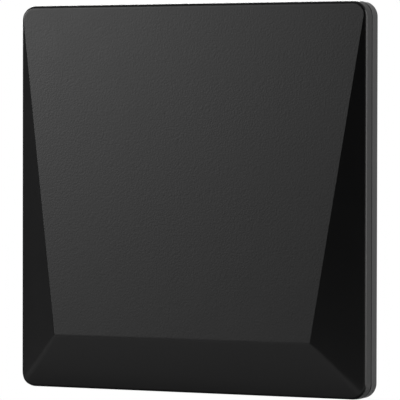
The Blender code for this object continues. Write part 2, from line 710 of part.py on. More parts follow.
def make_board(panel, laminate, tin, resin, ceramic, brass):
    """The amplifier board with two shields, the chips under them, two filters and the aerial plug."""
    holes = [(x, z, POST_HOLE_RADIUS) for x, z in board_post_places()]
    area = (BOARD_HALF, BOARD_BOTTOM, BOARD_TOP)
    levels = (PLATE_BACK_Y, PLATE_BACK_Y - BOARD_THICKNESS)
    make_plate(panel, "amplifier_board", area, levels, BOARD_THICKNESS, holes, laminate)
    chip_y = PART_SEAT_Y - CHIP_THICKNESS / 2
    size = (CHIP_SIZE, CHIP_THICKNESS, CHIP_SIZE)
    for name, x in (("uplink", -SHIELD_MIDDLE), ("downlink", SHIELD_MIDDLE)):
        make_shield(panel, f"{name}_shield", x, tin)
        make_block(panel, f"{name}_amplifier", (x, chip_y, BOARD_MIDDLE), size, resin)
    filter_y = PART_SEAT_Y - FILTER_DEPTH / 2
    size = (FILTER_WIDTH, FILTER_DEPTH, FILTER_HEIGHT)
    for number, side in enumerate((-1, 1), 1):
        middle = (0, filter_y, BOARD_MIDDLE + side * FILTER_SPACING / 2)
        make_block(panel, f"band_filter_{number}", middle, size, ceramic)
    plug_y = PLATE_BACK_Y + GAP + PLUG_DEPTH / 2
    size = (PLUG_SIZE, PLUG_DEPTH, PLUG_SIZE)
    make_block(panel, "aerial_plug", (PLUG_X, plug_y, BOARD_TOP - PLUG_Z), size, brass)


def smooth_route(points):
    """Evenly numbered points on a smooth curve through a list of points."""
    knots = [points[0]] + points + [points[-1]]
    route = []
    spans = len(points) - 1
    for index in range(LEAD_POINTS):
        along = spans * index / (LEAD_POINTS - 1)
        span = min(int(along), spans - 1)
        t = along - span
        before, start, end, after = (Vector(knot) for knot in knots[span:span + 4])
        bend = (2 * before - 5 * start + 4 * end - after) * t * t
        twist = (3 * start - before - 3 * end + after) * t * t * t
        route.append((2 * start + (end - before) * t + bend + twist) / 2)
    return route


def make_pigtail(panel, name, points, jacket):
    """A thin coaxial lead along a route."""
    route = smooth_route(points)
    curve = bpy.data.curves.new(name, "CURVE")
    curve.dimensions = "3D"
    curve.bevel_depth = PIGTAIL_DIAMETER / 2
    curve.bevel_resolution = LEAD_STEPS
    curve.use_fill_caps = True
    spline = curve.splines.new("POLY")
    spline.points.add(len(route) - 1)
    for point, position in zip(spline.points, route):
        point.co = (*position, 1.0)
    curve.materials.append(jacket)
    place(name, curve, panel)


def make_pigtails(panel, jacket):
    """The lead behind the reflector to the aerial plug, and the lead from the jack to the board."""
    start = PATCH_Z - FEED_DROP - FEED_PIN_DIAMETER / 2 - GAP
    drop = start - BOARD_TOP + PLUG_Z - PLUG_SIZE / 2 - GAP
    points = [(PLUG_X * across, PIGTAIL_Y, start - drop * along) for across, along in AERIAL_ROUTE]
    make_pigtail(panel, "aerial_pigtail", points, jacket)

    start = HOUSING_BOTTOM + COVER_WALL + JACK_FLANGE_HEIGHT + JACK_TAIL + 2 * GAP
    rise = HOUSING_TOP - COVER_WALL - PIGTAIL_DIAMETER - start
    depth = JACK_Y - PLATE_BACK_Y - GAP
    points = [(0, JACK_Y - depth * inwards, start + rise * along) for inwards, along in JACK_ROUTE]
    make_pigtail(panel, "jack_pigtail", points, jacket)


def add_hex(bm, flats, low, high, axis, centre=(0.0, 0.0, 0.0)):
    """A hexagonal prism, given its width across flats."""
    add_rod(bm, flats / math.sqrt(3), low, high, 6, axis, centre)


def add_ring(bm, inner, outer, low, high, steps, axis):
    """A flat ring along an axis."""
    add_turned(bm, [(inner, low), (outer, low), (outer, high), (inner, high)], steps, axis)


def make_jack(panel, nickel, nylon, brass, rubber, steel):
    """The coaxial jack through the housing's underside, with its ring, washer and nut."""
    seat = (0, JACK_Y, HOUSING_BOTTOM)
    barrel = JACK_DIAMETER / 2
    bore = JACK_BORE / 2
    tail = JACK_TAIL_DIAMETER / 2
    wall = barrel - bore
    flange = COVER_WALL + GAP
    top = flange + JACK_FLANGE_HEIGHT
    bore_end = JACK_BORE_DEPTH - JACK_LENGTH
    bm = bmesh.new()
    add_hex(bm, JACK_FLANGE, flange, top, "Z")
    jack = place("coax_jack", mesh_of("coax_jack", bm, nickel), panel, seat)
    body = bmesh.new()
    profile = [(0, bore_end), (bore, bore_end), (bore, -JACK_LENGTH), (barrel - JACK_CHAMFER, -JACK_LENGTH)]
    profile += [(barrel, JACK_CHAMFER - JACK_LENGTH), (barrel, top - wall), (tail, top - wall)]
    profile += [(tail, top + JACK_TAIL), (0, top + JACK_TAIL)]
    add_turned(body, profile, FINE_STEPS, "Z")
    shape(jack, ("UNION", body))

    contact = JACK_CONTACT / 2
    bm = bmesh.new()
    add_ring(bm, contact + GAP, bore - GAP, wall - JACK_LENGTH, bore_end - GAP, ROUND_STEPS, "Z")
    place("jack_insulator", mesh_of("jack_insulator", bm, nylon), panel, seat)
    bm = bmesh.new()
    add_rod(bm, contact, 2 * wall - JACK_LENGTH, bore_end - GAP, SCREW_STEPS, "Z")
    place("jack_contact", mesh_of("jack_contact", bm, brass), panel, seat)

    ring_outer = JACK_HOLE_RADIUS + SEAL_RING_SECTION
    ring_low = -GAP - SEAL_RING_HEIGHT
    bm = bmesh.new()
    add_ring(bm, JACK_HOLE_RADIUS, ring_outer, ring_low, -GAP, FINE_STEPS, "Z")
    place("jack_seal_ring", mesh_of("jack_seal_ring", bm, rubber), panel, seat)
    washer_low = ring_low - GAP - JACK_WASHER_HEIGHT
    bm = bmesh.new()
    add_ring(bm, JACK_HOLE_RADIUS, JACK_WASHER_OUTER / 2, washer_low, ring_low - GAP, FINE_STEPS, "Z")
    place("jack_washer", mesh_of("jack_washer", bm, steel), panel, seat)
    levels = (washer_low - GAP - JACK_NUT_HEIGHT, washer_low - GAP)
    make_nut(panel, "jack_nut", JACK_NUT_FLATS, JACK_HOLE_RADIUS, levels, seat, nickel)


def make_nut(parent, name, flats, hole_radius, levels, location, material):
    """A hexagonal nut on an upright thread, between two levels."""
    low, high = levels
    bm = bmesh.new()
    add_hex(bm, flats, low, high, "Z")
    nut = place(name, mesh_of(name, bm, material), parent, location)
    hole = bmesh.new()
    add_rod(hole, hole_radius, low - OVERCUT, high + OVERCUT, FINE_STEPS, "Z")
    shape(nut, ("DIFFERENCE", hole))


def add_rounded_tab(bm, radius, root, axis, low, high):
    """A tab that ends in a half round about the origin and runs back along Y to a root."""
    side = 1 if root > 0 else -1
    points = [(-radius, root)]
    for step in range(FINE_STEPS // 2 + 1):
        angle = 2 * math.pi * step / FINE_STEPS
        points.append((-radius * math.cos(angle), -side * radius * math.sin(angle)))
    points.append((radius, root))
    if axis == "X":
        add_loft(bm, [[(level, along, across) for across, along in points] for level in (low, high)])
    else:
        add_loft(bm, [[(across, along, level) for across, along in points] for level in (low, high)])


def make_panel_bracket(panel, coated, brass, steel):
    """The plate with two ears behind the rear cover, its inserts and its screws."""
    places = square_places(BRACKET_HOLE_SPREAD)
    holes = [(x, z, BRACKET_SCREW_DIAMETER / 2 + GAP) for x, z in places]
    half = BRACKET_PLATE_SIZE / 2
    area = (half, -half, half)
    levels = (PLATE_FACE_Y, PLATE_FACE_Y - BRACKET_PLATE_THICKNESS)
    bracket = make_plate(panel, "panel_bracket", area, levels, BRACKET_PLATE_CORNER, holes, coated)
    ears = bmesh.new()
    root = PLATE_FACE_Y - BRACKET_PLATE_THICKNESS / 2
    add_rounded_tab(ears, EAR_RADIUS, root, "X", EAR_INNER, EAR_OUTER)
    add_rounded_tab(ears, EAR_RADIUS, root, "X", -EAR_OUTER, -EAR_INNER)
    bore = bmesh.new()
    add_rod(bore, PIVOT_HOLE_RADIUS, -EAR_OUTER - OVERCUT, EAR_OUTER + OVERCUT, FINE_STEPS, "X")
    shape(bracket, ("UNION", ears), ("DIFFERENCE", bore))

    bm = bmesh.new()
    add_ring(bm, INSERT_INNER, INSERT_OUTER, -INSERT_LENGTH, 0.0, ROUND_STEPS, "Y")
    insert = mesh_of("bracket_insert", bm, brass)
    size = (BRACKET_SCREW_DIAMETER, BRACKET_SCREW_HEAD, BRACKET_SCREW_HEAD_HEIGHT)
    length = PLATE_FACE_Y + GAP - BACK_Y + INSERT_LENGTH
    screw = screw_mesh("bracket_screw", size, length, 1, steel)
    for number, (x, z) in enumerate(places, 1):
        place(f"bracket_insert_{number}", insert, panel, (x, BACK_Y, z))
        place(f"bracket_screw_{number}", screw, panel, (x, PLATE_FACE_Y + GAP, z))


def make_bolt(parent, name, axis, head_seat, tail, location, steel):
    """A hex bolt along an axis; the head lies outside head_seat."""
    outwards = 1 if head_seat > tail else -1
    levels = sorted((head_seat, head_seat + outwards * BOLT_HEAD_HEIGHT))
    bm = bmesh.new()
    add_hex(bm, BOLT_HEAD_FLATS, levels[0], levels[1], axis)
    bolt = place(name, mesh_of(name, bm, steel), parent, location)
    shank = bmesh.new()
    radius = BOLT_DIAMETER / 2
    inside = (levels[0] + levels[1]) / 2
    profile = [(0, tail), (radius - BOLT_CHAMFER, tail), (radius, tail + outwards * BOLT_CHAMFER)]
    profile += [(radius, inside), (0, inside)]
    add_turned(shank, profile, FINE_STEPS, axis)
    shape(bolt, ("UNION", shank))


def knob_ring(inset, along):
    """The knob's lobed outline drawn in by an inset, at a place along its axis."""
    steps = KNOB_LOBES * LOBE_STEPS
    ring = []
    for index in range(steps):
        angle = 2 * math.pi * index / steps
        radius = KNOB_RADIUS - inset - KNOB_LOBE_DEPTH * (1 - math.cos(KNOB_LOBES * angle)) / 2
        ring.append((along, radius * math.cos(angle), radius * math.sin(angle)))
    return ring


def make_tilt_pivot(panel, knob_pivot, steel, knob_black):
    """The bolt through the ears, the washer and the clamping knob on its tail."""
    tail = KNOB_SEAT_X + KNOB_LENGTH - KNOB_CAP - GAP
    make_bolt(panel, "tilt_bolt", "X", -EAR_OUTER - GAP, tail, (0, 0, 0), steel)
    low = EAR_OUTER + GAP
    bm = bmesh.new()
    add_ring(bm, PIVOT_HOLE_RADIUS, WASHER_DIAMETER / 2, low, low + WASHER_THICKNESS, FINE_STEPS, "X")
    place("tilt_washer", mesh_of("tilt_washer", bm, steel), panel)

    sections = [(KNOB_CHAMFER, 0.0), (0.0, KNOB_CHAMFER)]
    sections += [(0.0, KNOB_LENGTH - KNOB_CHAMFER), (KNOB_CHAMFER, KNOB_LENGTH)]
    bm = bmesh.new()
    add_loft(bm, [knob_ring(inset, along) for inset, along in sections])
    knob = place("tilt_knob", mesh_of("tilt_knob", bm, knob_black), knob_pivot)
    hole = bmesh.new()
    add_rod(hole, PIVOT_HOLE_RADIUS, -OVERCUT, KNOB_LENGTH - KNOB_CAP, FINE_STEPS, "X")
    shape(knob, ("DIFFERENCE", hole))


def make_arm(swivel, coated):
    """The arm: an upright knuckle at the wall, a level knuckle at the panel and a web between them."""
    half = ARM_WIDTH / 2
    cut = half + OVERCUT
    front_place = (0, -ARM_LENGTH, 0)
    bm = bmesh.new()
    add_rod(bm, KNUCKLE_RADIUS, -half, half, FINE_STEPS, "Z")
    arm = place("swivel_arm", mesh_of("swivel_arm", bm, coated), swivel)
    web = bmesh.new()
    add_box(web, (-ARM_WEB / 2, -ARM_LENGTH, -ARM_WEB / 2), (ARM_WEB / 2, 0, ARM_WEB / 2))
    front = bmesh.new()
    add_rod(front, KNUCKLE_RADIUS, -half, half, FINE_STEPS, "X", front_place)
    rear_bore = bmesh.new()
    add_rod(rear_bore, PIVOT_HOLE_RADIUS, -cut, cut, FINE_STEPS, "Z")
    front_bore = bmesh.new()
    add_rod(front_bore, PIVOT_HOLE_RADIUS, -cut, cut, FINE_STEPS, "X", front_place)
    shape(arm, ("UNION", web), ("UNION", front), ("DIFFERENCE", rear_bore), ("DIFFERENCE", front_bore))


def make_wall_plate(wall, coated, steel):
    """The plate with four wall holes and two lugs, and the bolt, washer and nut of the swivel."""
    axis_place = (0, -SWIVEL_OFFSET, 0)
    across = WALL_HOLE_SPREAD_X / 2
    up = WALL_HOLE_SPREAD_Z / 2
    holes = [(x, z, WALL_HOLE_DIAMETER / 2) for x in (-across, across) for z in (-up, up)]
    area = (WALL_PLATE_WIDTH / 2, -WALL_PLATE_HEIGHT / 2, WALL_PLATE_HEIGHT / 2)
    levels = (0.0, -WALL_PLATE_THICKNESS)
    plate = make_plate(wall, "wall_plate", area, levels, WALL_PLATE_CORNER, holes, coated)
    lugs = bmesh.new()
    root = SWIVEL_OFFSET - WALL_PLATE_THICKNESS / 2
    add_rounded_tab(lugs, KNUCKLE_RADIUS, root, "Z", LUG_INNER, LUG_OUTER)
    add_rounded_tab(lugs, KNUCKLE_RADIUS, root, "Z", -LUG_OUTER, -LUG_INNER)
    bmesh.ops.translate(lugs, verts=lugs.verts, vec=axis_place)
    cut = LUG_OUTER + OVERCUT
    bore = bmesh.new()
    add_rod(bore, PIVOT_HOLE_RADIUS, -cut, cut, FINE_STEPS, "Z", axis_place)
    shape(plate, ("UNION", lugs), ("DIFFERENCE", bore))

    washer_top = -LUG_OUTER - GAP
    washer_low = washer_top - WASHER_THICKNESS
    nut_top = washer_low - GAP
    nut_low = nut_top - NUT_HEIGHT
    make_bolt(wall, "swivel_bolt", "Z", LUG_OUTER + GAP, nut_low - BOLT_TAIL, axis_place, steel)
    bm = bmesh.new()
    add_ring(bm, PIVOT_HOLE_RADIUS, WASHER_DIAMETER / 2, washer_low, washer_top, FINE_STEPS, "Z")
    place("swivel_washer", mesh_of("swivel_washer", bm, steel), wall, axis_place)
    levels = (nut_low, nut_top)
    make_nut(wall, "swivel_nut", BOLT_HEAD_FLATS, PIVOT_HOLE_RADIUS, levels, axis_place, steel)


def main():
    """Build every piece on the pivots that carry it."""
    clear_scene()
    black = finish("cover_black", (0.018, 0.018, 0.019), 0.45)
    rubber = finish("seal_rubber", (0.012, 0.012, 0.012), 0.80)
    steel = finish("zinc_steel", (0.56, 0.57, 0.58), 0.35, 1.0)
    coated = finish("coated_black", (0.020, 0.020, 0.021), 0.50)
    knob_black = finish("knob_black", (0.016, 0.016, 0.017), 0.42)
    aluminium = finish("sheet_aluminium", (0.75, 0.76, 0.77), 0.38, 1.0)
    copper = finish("bare_copper", (0.72, 0.40, 0.27), 0.32, 1.0)
    brass = finish("turned_brass", (0.72, 0.56, 0.28), 0.30, 1.0)
    nickel = finish("bright_nickel", (0.66, 0.64, 0.60), 0.22, 1.0)
    tin = finish("tinned_sheet", (0.68, 0.69, 0.70), 0.34, 1.0)
    nylon = finish("natural_nylon", (0.82, 0.80, 0.74), 0.50)
    laminate = finish("board_green", (0.020, 0.110, 0.050), 0.40)
    resin = finish("chip_resin", (0.022, 0.022, 0.024), 0.50)
    ceramic = finish("filter_ceramic", (0.70, 0.62, 0.50), 0.35)
    jacket = finish("lead_jacket", (0.160, 0.075, 0.035), 0.45)

    wall = pivot("wall_frame", (0, 0, 0))
    swivel = pivot("swivel_axis", (0, -SWIVEL_OFFSET, 0), wall)
    panel = pivot("tilt_axis", (0, -ARM_LENGTH, 0), swivel)
    knob = pivot("knob_axis", (KNOB_SEAT_X, 0, 0), panel)

    make_front_cover(panel, black)
    make_rear_cover(panel, black)
    make_socket_housing(panel, black)
    make_cover_seal(panel, rubber)
    make_cover_screws(panel, steel)
    make_antenna(panel, aluminium, copper, nylon, brass)
    make_post_screws(panel, "reflector_screw", reflector_post_places(), REFLECTOR_THICKNESS, steel)
    make_board(panel, laminate, tin, resin, ceramic, brass)
    make_post_screws(panel, "board_screw", board_post_places(), BOARD_THICKNESS, steel)
    make_pigtails(panel, jacket)
    make_jack(panel, nickel, nylon, brass, rubber, steel)
    make_panel_bracket(panel, coated, brass, steel)
    make_tilt_pivot(panel, knob, steel, knob_black)
    make_arm(swivel, coated)
    make_wall_plate(wall, coated, steel)


main()
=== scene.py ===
# %% [markdown]
# # A flat signal booster panel, from solids to a picture
#
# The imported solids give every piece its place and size. This lesson puts a finer skin over the pieces
# that show, gives each piece a finish, and lights it as a product photograph does. Every new surface
# is worked out with numpy as one array of points, so its formula can be read in a few lines.

# %% Load the solids
import json
import math

import bmesh
import bpy
import numpy as np
from mathutils import Matrix, Vector

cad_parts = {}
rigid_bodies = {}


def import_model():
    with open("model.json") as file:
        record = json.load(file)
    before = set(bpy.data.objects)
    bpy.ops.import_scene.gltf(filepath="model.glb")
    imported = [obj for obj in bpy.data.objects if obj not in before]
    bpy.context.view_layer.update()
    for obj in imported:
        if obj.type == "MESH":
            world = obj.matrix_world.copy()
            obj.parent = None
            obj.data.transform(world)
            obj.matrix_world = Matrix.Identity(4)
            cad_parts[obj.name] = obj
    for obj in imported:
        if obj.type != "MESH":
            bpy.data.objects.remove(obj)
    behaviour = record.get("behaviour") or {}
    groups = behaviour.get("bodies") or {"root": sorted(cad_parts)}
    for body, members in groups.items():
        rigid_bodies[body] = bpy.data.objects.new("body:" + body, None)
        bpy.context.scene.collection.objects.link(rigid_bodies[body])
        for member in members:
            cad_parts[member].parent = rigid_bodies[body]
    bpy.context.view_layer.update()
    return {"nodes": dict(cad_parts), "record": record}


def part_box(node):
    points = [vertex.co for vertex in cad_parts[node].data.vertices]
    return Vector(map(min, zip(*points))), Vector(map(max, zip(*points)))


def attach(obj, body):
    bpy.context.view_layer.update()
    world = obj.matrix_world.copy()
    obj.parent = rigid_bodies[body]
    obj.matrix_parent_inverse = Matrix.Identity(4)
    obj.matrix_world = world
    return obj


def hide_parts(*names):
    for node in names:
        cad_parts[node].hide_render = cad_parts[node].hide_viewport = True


for leftover in list(bpy.data.objects):
    bpy.data.objects.remove(leftover, do_unlink=True)
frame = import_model()
NODES = frame["nodes"]

# %% [markdown]
# ## The camera
#
# The photograph was taken with a long lens from the panel's right, a little above its middle. The
# distance, the turn and the focal length were fitted to the panel's edges, its seam and its creases.
# The panel is taken to be square: the photograph alone would also allow one that is somewhat wider or
# slightly taller, seen at another turn. The camera is aimed by turning it instead of shifting the lens,
# because other views keep the shift.

# %% Camera
IMAGE_SIDE = 400
SENSOR = 36.0
FOCAL_PIXELS = 3451.5
CAMERA_TURN = math.radians(27.955)
CAMERA_DISTANCE = 1.8565
CAMERA_RISE = 0.0392
AIM_ASIDE = 10.54
AIM_DOWN = 74.49
CAMERA_ROLL = math.radians(0.118)
CREST_RAISE = 0.0109
CREST_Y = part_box("front_cover")[0].y
RIM_Y = CREST_Y + CREST_RAISE


def place_camera():
    """Stand off from the middle of the rim by turn and distance, look level, then aim by pixels."""
    lens = bpy.data.cameras.new("camera")
    lens.sensor_width = SENSOR
    lens.lens = FOCAL_PIXELS * SENSOR / IMAGE_SIDE
    camera = bpy.data.objects.new("camera", lens)
    bpy.context.scene.collection.objects.link(camera)
    aside = Vector((math.cos(CAMERA_TURN), math.sin(CAMERA_TURN), 0))
    level = Vector((-math.sin(CAMERA_TURN), math.cos(CAMERA_TURN), 0))
    up = Vector((0, 0, 1))
    ahead = level + aside * AIM_ASIDE / FOCAL_PIXELS - up * AIM_DOWN / FOCAL_PIXELS
    turn = ahead.to_track_quat("-Z", "Y").to_matrix().to_4x4()
    spot = Vector((0, RIM_Y, CAMERA_RISE)) - level * CAMERA_DISTANCE
    camera.matrix_world = Matrix.Translation(spot) @ turn @ Matrix.Rotation(CAMERA_ROLL, 4, "Z")
    bpy.context.scene.camera = camera
    return camera


camera = place_camera()
print("camera at", [round(value, 3) for value in camera.matrix_world.translation])

# %% [markdown]
# ## Light and stage
#
# Black plastic shows mostly what it reflects. A tall strip of light on the left makes the soft fall
# of grey over the middle face. A broad lamp on the right draws the bright line along the rim, pale
# paper behind the panel shows in its side wall, and the right facet mirrors the dark of the studio.
# A third lamp, behind, lights the bracket for the other views. The camera sees white behind the panel.

# %% World and lamps
STUDIO_LIGHT = 0.012
REAR_LIGHT = 0.15
LEFT_LIGHT = 0.075
CEILING_LIGHT = 0.25
PAPER_COVER = 0.66
REAR_SPAN = (0.1, 0.7)
CEILING_SPAN = (0.6, 0.95)
LEFT_SPAN = (-0.55, -0.95)
PAPER_SPAN = (0.66, 1.0)
LAMPS = {
    "left_softbox": ((-2.007, -2.109, 0.765), (0.86, 0.44), 28.0),
    "right_softbox": ((1.06, 0.21, 0.25), (0.80, 1.00), 7.2),
    "rear_softbox": ((-0.90, 1.30, 0.50), (0.80, 0.80), 14.0),
}


def node(tree, kind, inputs=None, **settings):
    """A new shader node: settings are its own choices, inputs are numbers or the sockets it reads."""
    made = tree.nodes.new(kind)
    for key, value in settings.items():
        setattr(made, key, value)
    for key, value in (inputs or {}).items():
        if isinstance(value, bpy.types.NodeSocket):
            tree.links.new(value, made.inputs[key])
        else:
            made.inputs[key].default_value = value
    return made


def smooth_ramp(tree, value, span, tones):
    """A value that goes smoothly from the first tone to the second while it crosses the span."""
    limits = {"Value": value, "From Min": span[0], "From Max": span[1]}
    limits |= {"To Min": tones[0], "To Max": tones[1]}
    return node(tree, "ShaderNodeMapRange", limits, interpolation_type="SMOOTHSTEP").outputs["Result"]


def combined(tree, operation, first, second):
    """Two values put together by one operation."""
    return node(tree, "ShaderNodeMath", {0: first, 1: second}, operation=operation).outputs["Value"]


def make_world():
    """A dim studio with a soft ceiling and left wall. White paper stands behind the panel: the camera
    sees it all round, and mirror and glass rays see it where they run straight back."""
    world = bpy.data.worlds.new("studio")
    world.use_nodes = True
    tree = world.node_tree
    tree.nodes.clear()
    way = node(tree, "ShaderNodeTexCoord").outputs["Generated"]
    ways = node(tree, "ShaderNodeSeparateXYZ", {"Vector": way}).outputs
    rear = smooth_ramp(tree, ways["Y"], REAR_SPAN, (STUDIO_LIGHT, REAR_LIGHT))
    ceiling = smooth_ramp(tree, ways["Z"], CEILING_SPAN, (0.0, CEILING_LIGHT))
    left = smooth_ramp(tree, ways["X"], LEFT_SPAN, (0.0, LEFT_LIGHT))
    soft = combined(tree, "ADD", combined(tree, "ADD", rear, ceiling), left)
    lit = node(tree, "ShaderNodeBackground", {"Color": soft})
    white = node(tree, "ShaderNodeBackground", {"Color": (1, 1, 1, 1)})
    rays = node(tree, "ShaderNodeLightPath").outputs
    mirrored = combined(tree, "MAXIMUM", rays["Is Glossy Ray"], rays["Is Transmission Ray"])
    paper = smooth_ramp(tree, ways["Y"], PAPER_SPAN, (0.0, PAPER_COVER))
    seen = combined(tree, "MAXIMUM", rays["Is Camera Ray"], combined(tree, "MULTIPLY", mirrored, paper))
    mixed = node(tree, "ShaderNodeMixShader", {0: seen, 1: lit.outputs[0], 2: white.outputs[0]})
    node(tree, "ShaderNodeOutputWorld", {"Surface": mixed.outputs[0]})
    bpy.context.scene.world = world


def make_softbox(name, spot, size, power):
    """A rectangular lamp that faces the middle of the panel's rim."""
    lamp = bpy.data.lights.new(name, "AREA")
    lamp.shape = "RECTANGLE"
    lamp.size, lamp.size_y = size
    lamp.energy = power
    softbox = bpy.data.objects.new(name, lamp)
    bpy.context.scene.collection.objects.link(softbox)
    turn = (Vector((0, RIM_Y, 0)) - Vector(spot)).to_track_quat("-Z", "Y").to_matrix().to_4x4()
    softbox.matrix_world = Matrix.Translation(spot) @ turn
    softbox.visible_camera = False
    print(name, "at", spot, "with", power, "watts")


bpy.context.scene.view_settings.view_transform = "Standard"
make_world()
for lamp_name, lamp_settings in LAMPS.items():
    make_softbox(lamp_name, *lamp_settings)

# %% [markdown]
# ## The floor
#
# A plain pale disc lies below the panel, as paper lies under a product on a studio table. The camera
# sees it fade into the white behind. What it throws back up at the panel is set apart from what the
# camera sees: there its colour holds a painted shade, dark right under the panel, which keeps the bottom
# facet dark.

# %% Floor
FLOOR_Z = -0.160
FLOOR_RADIUS = 0.60
FLOOR_POINTS = 64
FLOOR_PALE = (0.90, 0.90, 0.90, 1)
# Painted shade: for light that bounces back at the panel, the floor's colour is dark in a band right
# under the panel and pale further out.
PAINTED_SHADE_Y = -0.04
PAINTED_SHADE_SPAN = (0.03, 0.14)
PAINTED_SHADE_TONES = (0.06, 0.95)
FADE_SPAN = (0.18, 0.95 * FLOOR_RADIUS)
FADE_TONES = (0.35, 1.0)


def make_floor():
    """A pale disc below the panel. The camera sees it turn white towards its edge. For other rays its
    colour holds a painted shade, dark right under the panel. From below it is clear, so it hides
    nothing."""
    angle = np.linspace(0, 2 * np.pi, FLOOR_POINTS, endpoint=False)
    rim = np.stack((FLOOR_RADIUS * np.cos(angle), FLOOR_RADIUS * np.sin(angle)), axis=-1)
    points = np.column_stack((rim, np.full(len(angle), FLOOR_Z)))
    mesh = bpy.data.meshes.new("floor")
    mesh.from_pydata(points.tolist(), [], [list(range(len(angle)))])
    floor = bpy.data.objects.new("floor", mesh)
    bpy.context.scene.collection.objects.link(floor)
    paper = bpy.data.materials.new("pale_floor")
    paper.use_nodes = True
    tree = paper.node_tree
    tree.nodes.clear()
    place = node(tree, "ShaderNodeTexCoord").outputs["Object"]
    flat = node(tree, "ShaderNodeVectorMath", {0: place, 1: (1, 1, 0)}, operation="MULTIPLY")
    away = node(tree, "ShaderNodeVectorMath", {0: flat.outputs["Vector"]}, operation="LENGTH")
    camera_ray = node(tree, "ShaderNodeLightPath").outputs["Is Camera Ray"]
    # Painted shade: a dark band in the floor's colour right under the panel, seen only by rays that are
    # not camera rays.
    depth = node(tree, "ShaderNodeSeparateXYZ", {"Vector": place}).outputs["Y"]
    offset = combined(tree, "SUBTRACT", depth, PAINTED_SHADE_Y)
    aside = node(tree, "ShaderNodeMath", {0: offset}, operation="ABSOLUTE").outputs["Value"]
    shade = smooth_ramp(tree, aside, PAINTED_SHADE_SPAN, PAINTED_SHADE_TONES)
    # This diffuse floor carries the painted shade as its colour.
    dim = node(tree, "ShaderNodeBsdfDiffuse", {"Color": shade})
    pale = node(tree, "ShaderNodeBsdfDiffuse", {"Color": FLOOR_PALE})
    white = node(tree, "ShaderNodeEmission", {"Color": (1, 1, 1, 1)})
    fade = smooth_ramp(tree, away.outputs["Value"], FADE_SPAN, FADE_TONES)
    seen = node(tree, "ShaderNodeMixShader", {0: fade, 1: pale.outputs[0], 2: white.outputs[0]})
    above = node(tree, "ShaderNodeMixShader", {0: camera_ray, 1: dim.outputs[0], 2: seen.outputs[0]})
    below = node(tree, "ShaderNodeNewGeometry").outputs["Backfacing"]
    clear = node(tree, "ShaderNodeBsdfTransparent")
    mixed = node(tree, "ShaderNodeMixShader", {0: below, 1: above.outputs[0], 2: clear.outputs[0]})
    node(tree, "ShaderNodeOutputMaterial", {"Surface": mixed.outputs[0]})
    mesh.materials.append(paper)
    print("floor at", FLOOR_Z)


make_floor()

# %% [markdown]
# ## Finishes
#
# Each finish is a Principled shader with a cloud of noise at the size of its grain. The noise shifts
# the colour and the roughness a little and lifts the surface, so that no highlight is perfectly even.
# The covers have two textures in one mould: a matte spark-eroded middle face and smooth facets. A
# number on each point of the mesh, called grain, says which of them shows.

# %% Finishes
PEBBLE_SIZE = 0.0009
PEBBLE_RELIEF = 0.000024
COVER_CLOUDS = 60.0
COVER_SWING = 0.08
COVER_DRIFT = 0.02
COLOUR_SWING = 0.12
ROUGHNESS_SWING = 0.07
BUMP_STRENGTH = 0.4


def shaded(colour, factor):
    """A colour times a factor, with full cover."""
    return tuple(min(1.0, part * factor) for part in colour) + (1.0,)


def new_finish(name, metallic=0.0):
    """An empty finish: its material, node tree, shader and Object coordinates."""
    material = bpy.data.materials.new(name)
    material.use_nodes = True
    tree = material.node_tree
    shader = tree.nodes["Principled BSDF"]
    shader.inputs["Metallic"].default_value = metallic
    return material, tree, shader, node(tree, "ShaderNodeTexCoord").outputs["Object"]


def tint(tree, shader, cloud, colour, swing):
    """Let the cloud carry the base colour up and down by a swing."""
    ramp = node(tree, "ShaderNodeValToRGB", {"Fac": cloud})
    ramp.color_ramp.elements[0].color = shaded(colour, 1 - swing)
    ramp.color_ramp.elements[1].color = shaded(colour, 1 + swing)
    tree.links.new(ramp.outputs["Color"], shader.inputs["Base Color"])


def grained(name, colour, roughness, metallic=0.0, grain=0.0006, relief=0.00001, stretch=(1, 1, 1)):
    """One even finish whose noise has the grain's size, stretched along the way it was worked."""
    material, tree, shader, place = new_finish(name, metallic)
    place = node(tree, "ShaderNodeMapping", {"Vector": place, "Scale": stretch}).outputs["Vector"]
    fine = {"Vector": place, "Scale": 1 / grain, "Detail": 3.0, "Roughness": 0.6}
    cloud = node(tree, "ShaderNodeTexNoise", fine).outputs["Fac"]
    tint(tree, shader, cloud, colour, COLOUR_SWING)
    limits = {"Value": cloud, "To Min": roughness - ROUGHNESS_SWING}
    limits["To Max"] = roughness + ROUGHNESS_SWING
    rough = node(tree, "ShaderNodeMapRange", limits).outputs["Result"]
    tree.links.new(rough, shader.inputs["Roughness"])
    bump = node(tree, "ShaderNodeBump", {"Height": cloud, "Strength": BUMP_STRENGTH, "Distance": relief})
    tree.links.new(bump.outputs["Normal"], shader.inputs["Normal"])
    return material


def two_texture_plastic(name, colour, smooth, matte):
    """Black cover plastic: grain 0 is smooth, grain 1 is matte with a fine pebbled relief."""
    material, tree, shader, place = new_finish(name)
    fine = {"Vector": place, "Scale": 1 / PEBBLE_SIZE, "Detail": 0.0}
    pebbles = node(tree, "ShaderNodeTexNoise", fine).outputs["Fac"]
    broad = {"Vector": place, "Scale": COVER_CLOUDS, "Detail": 2.0}
    cloud = node(tree, "ShaderNodeTexNoise", broad).outputs["Fac"]
    grain = node(tree, "ShaderNodeAttribute", attribute_name="grain").outputs["Fac"]
    tint(tree, shader, cloud, colour, COVER_SWING)
    limits = {"Value": grain, "To Min": smooth, "To Max": matte}
    base = node(tree, "ShaderNodeMapRange", limits).outputs["Result"]
    limits = {"Value": cloud, "To Min": -COVER_DRIFT, "To Max": COVER_DRIFT}
    drift = node(tree, "ShaderNodeMapRange", limits).outputs["Result"]
    tree.links.new(combined(tree, "ADD", base, drift), shader.inputs["Roughness"])
    height = combined(tree, "MULTIPLY", pebbles, grain)
    bump = node(tree, "ShaderNodeBump", {"Height": height, "Strength": 1.0, "Distance": PEBBLE_RELIEF})
    tree.links.new(bump.outputs["Normal"], shader.inputs["Normal"])
    return material


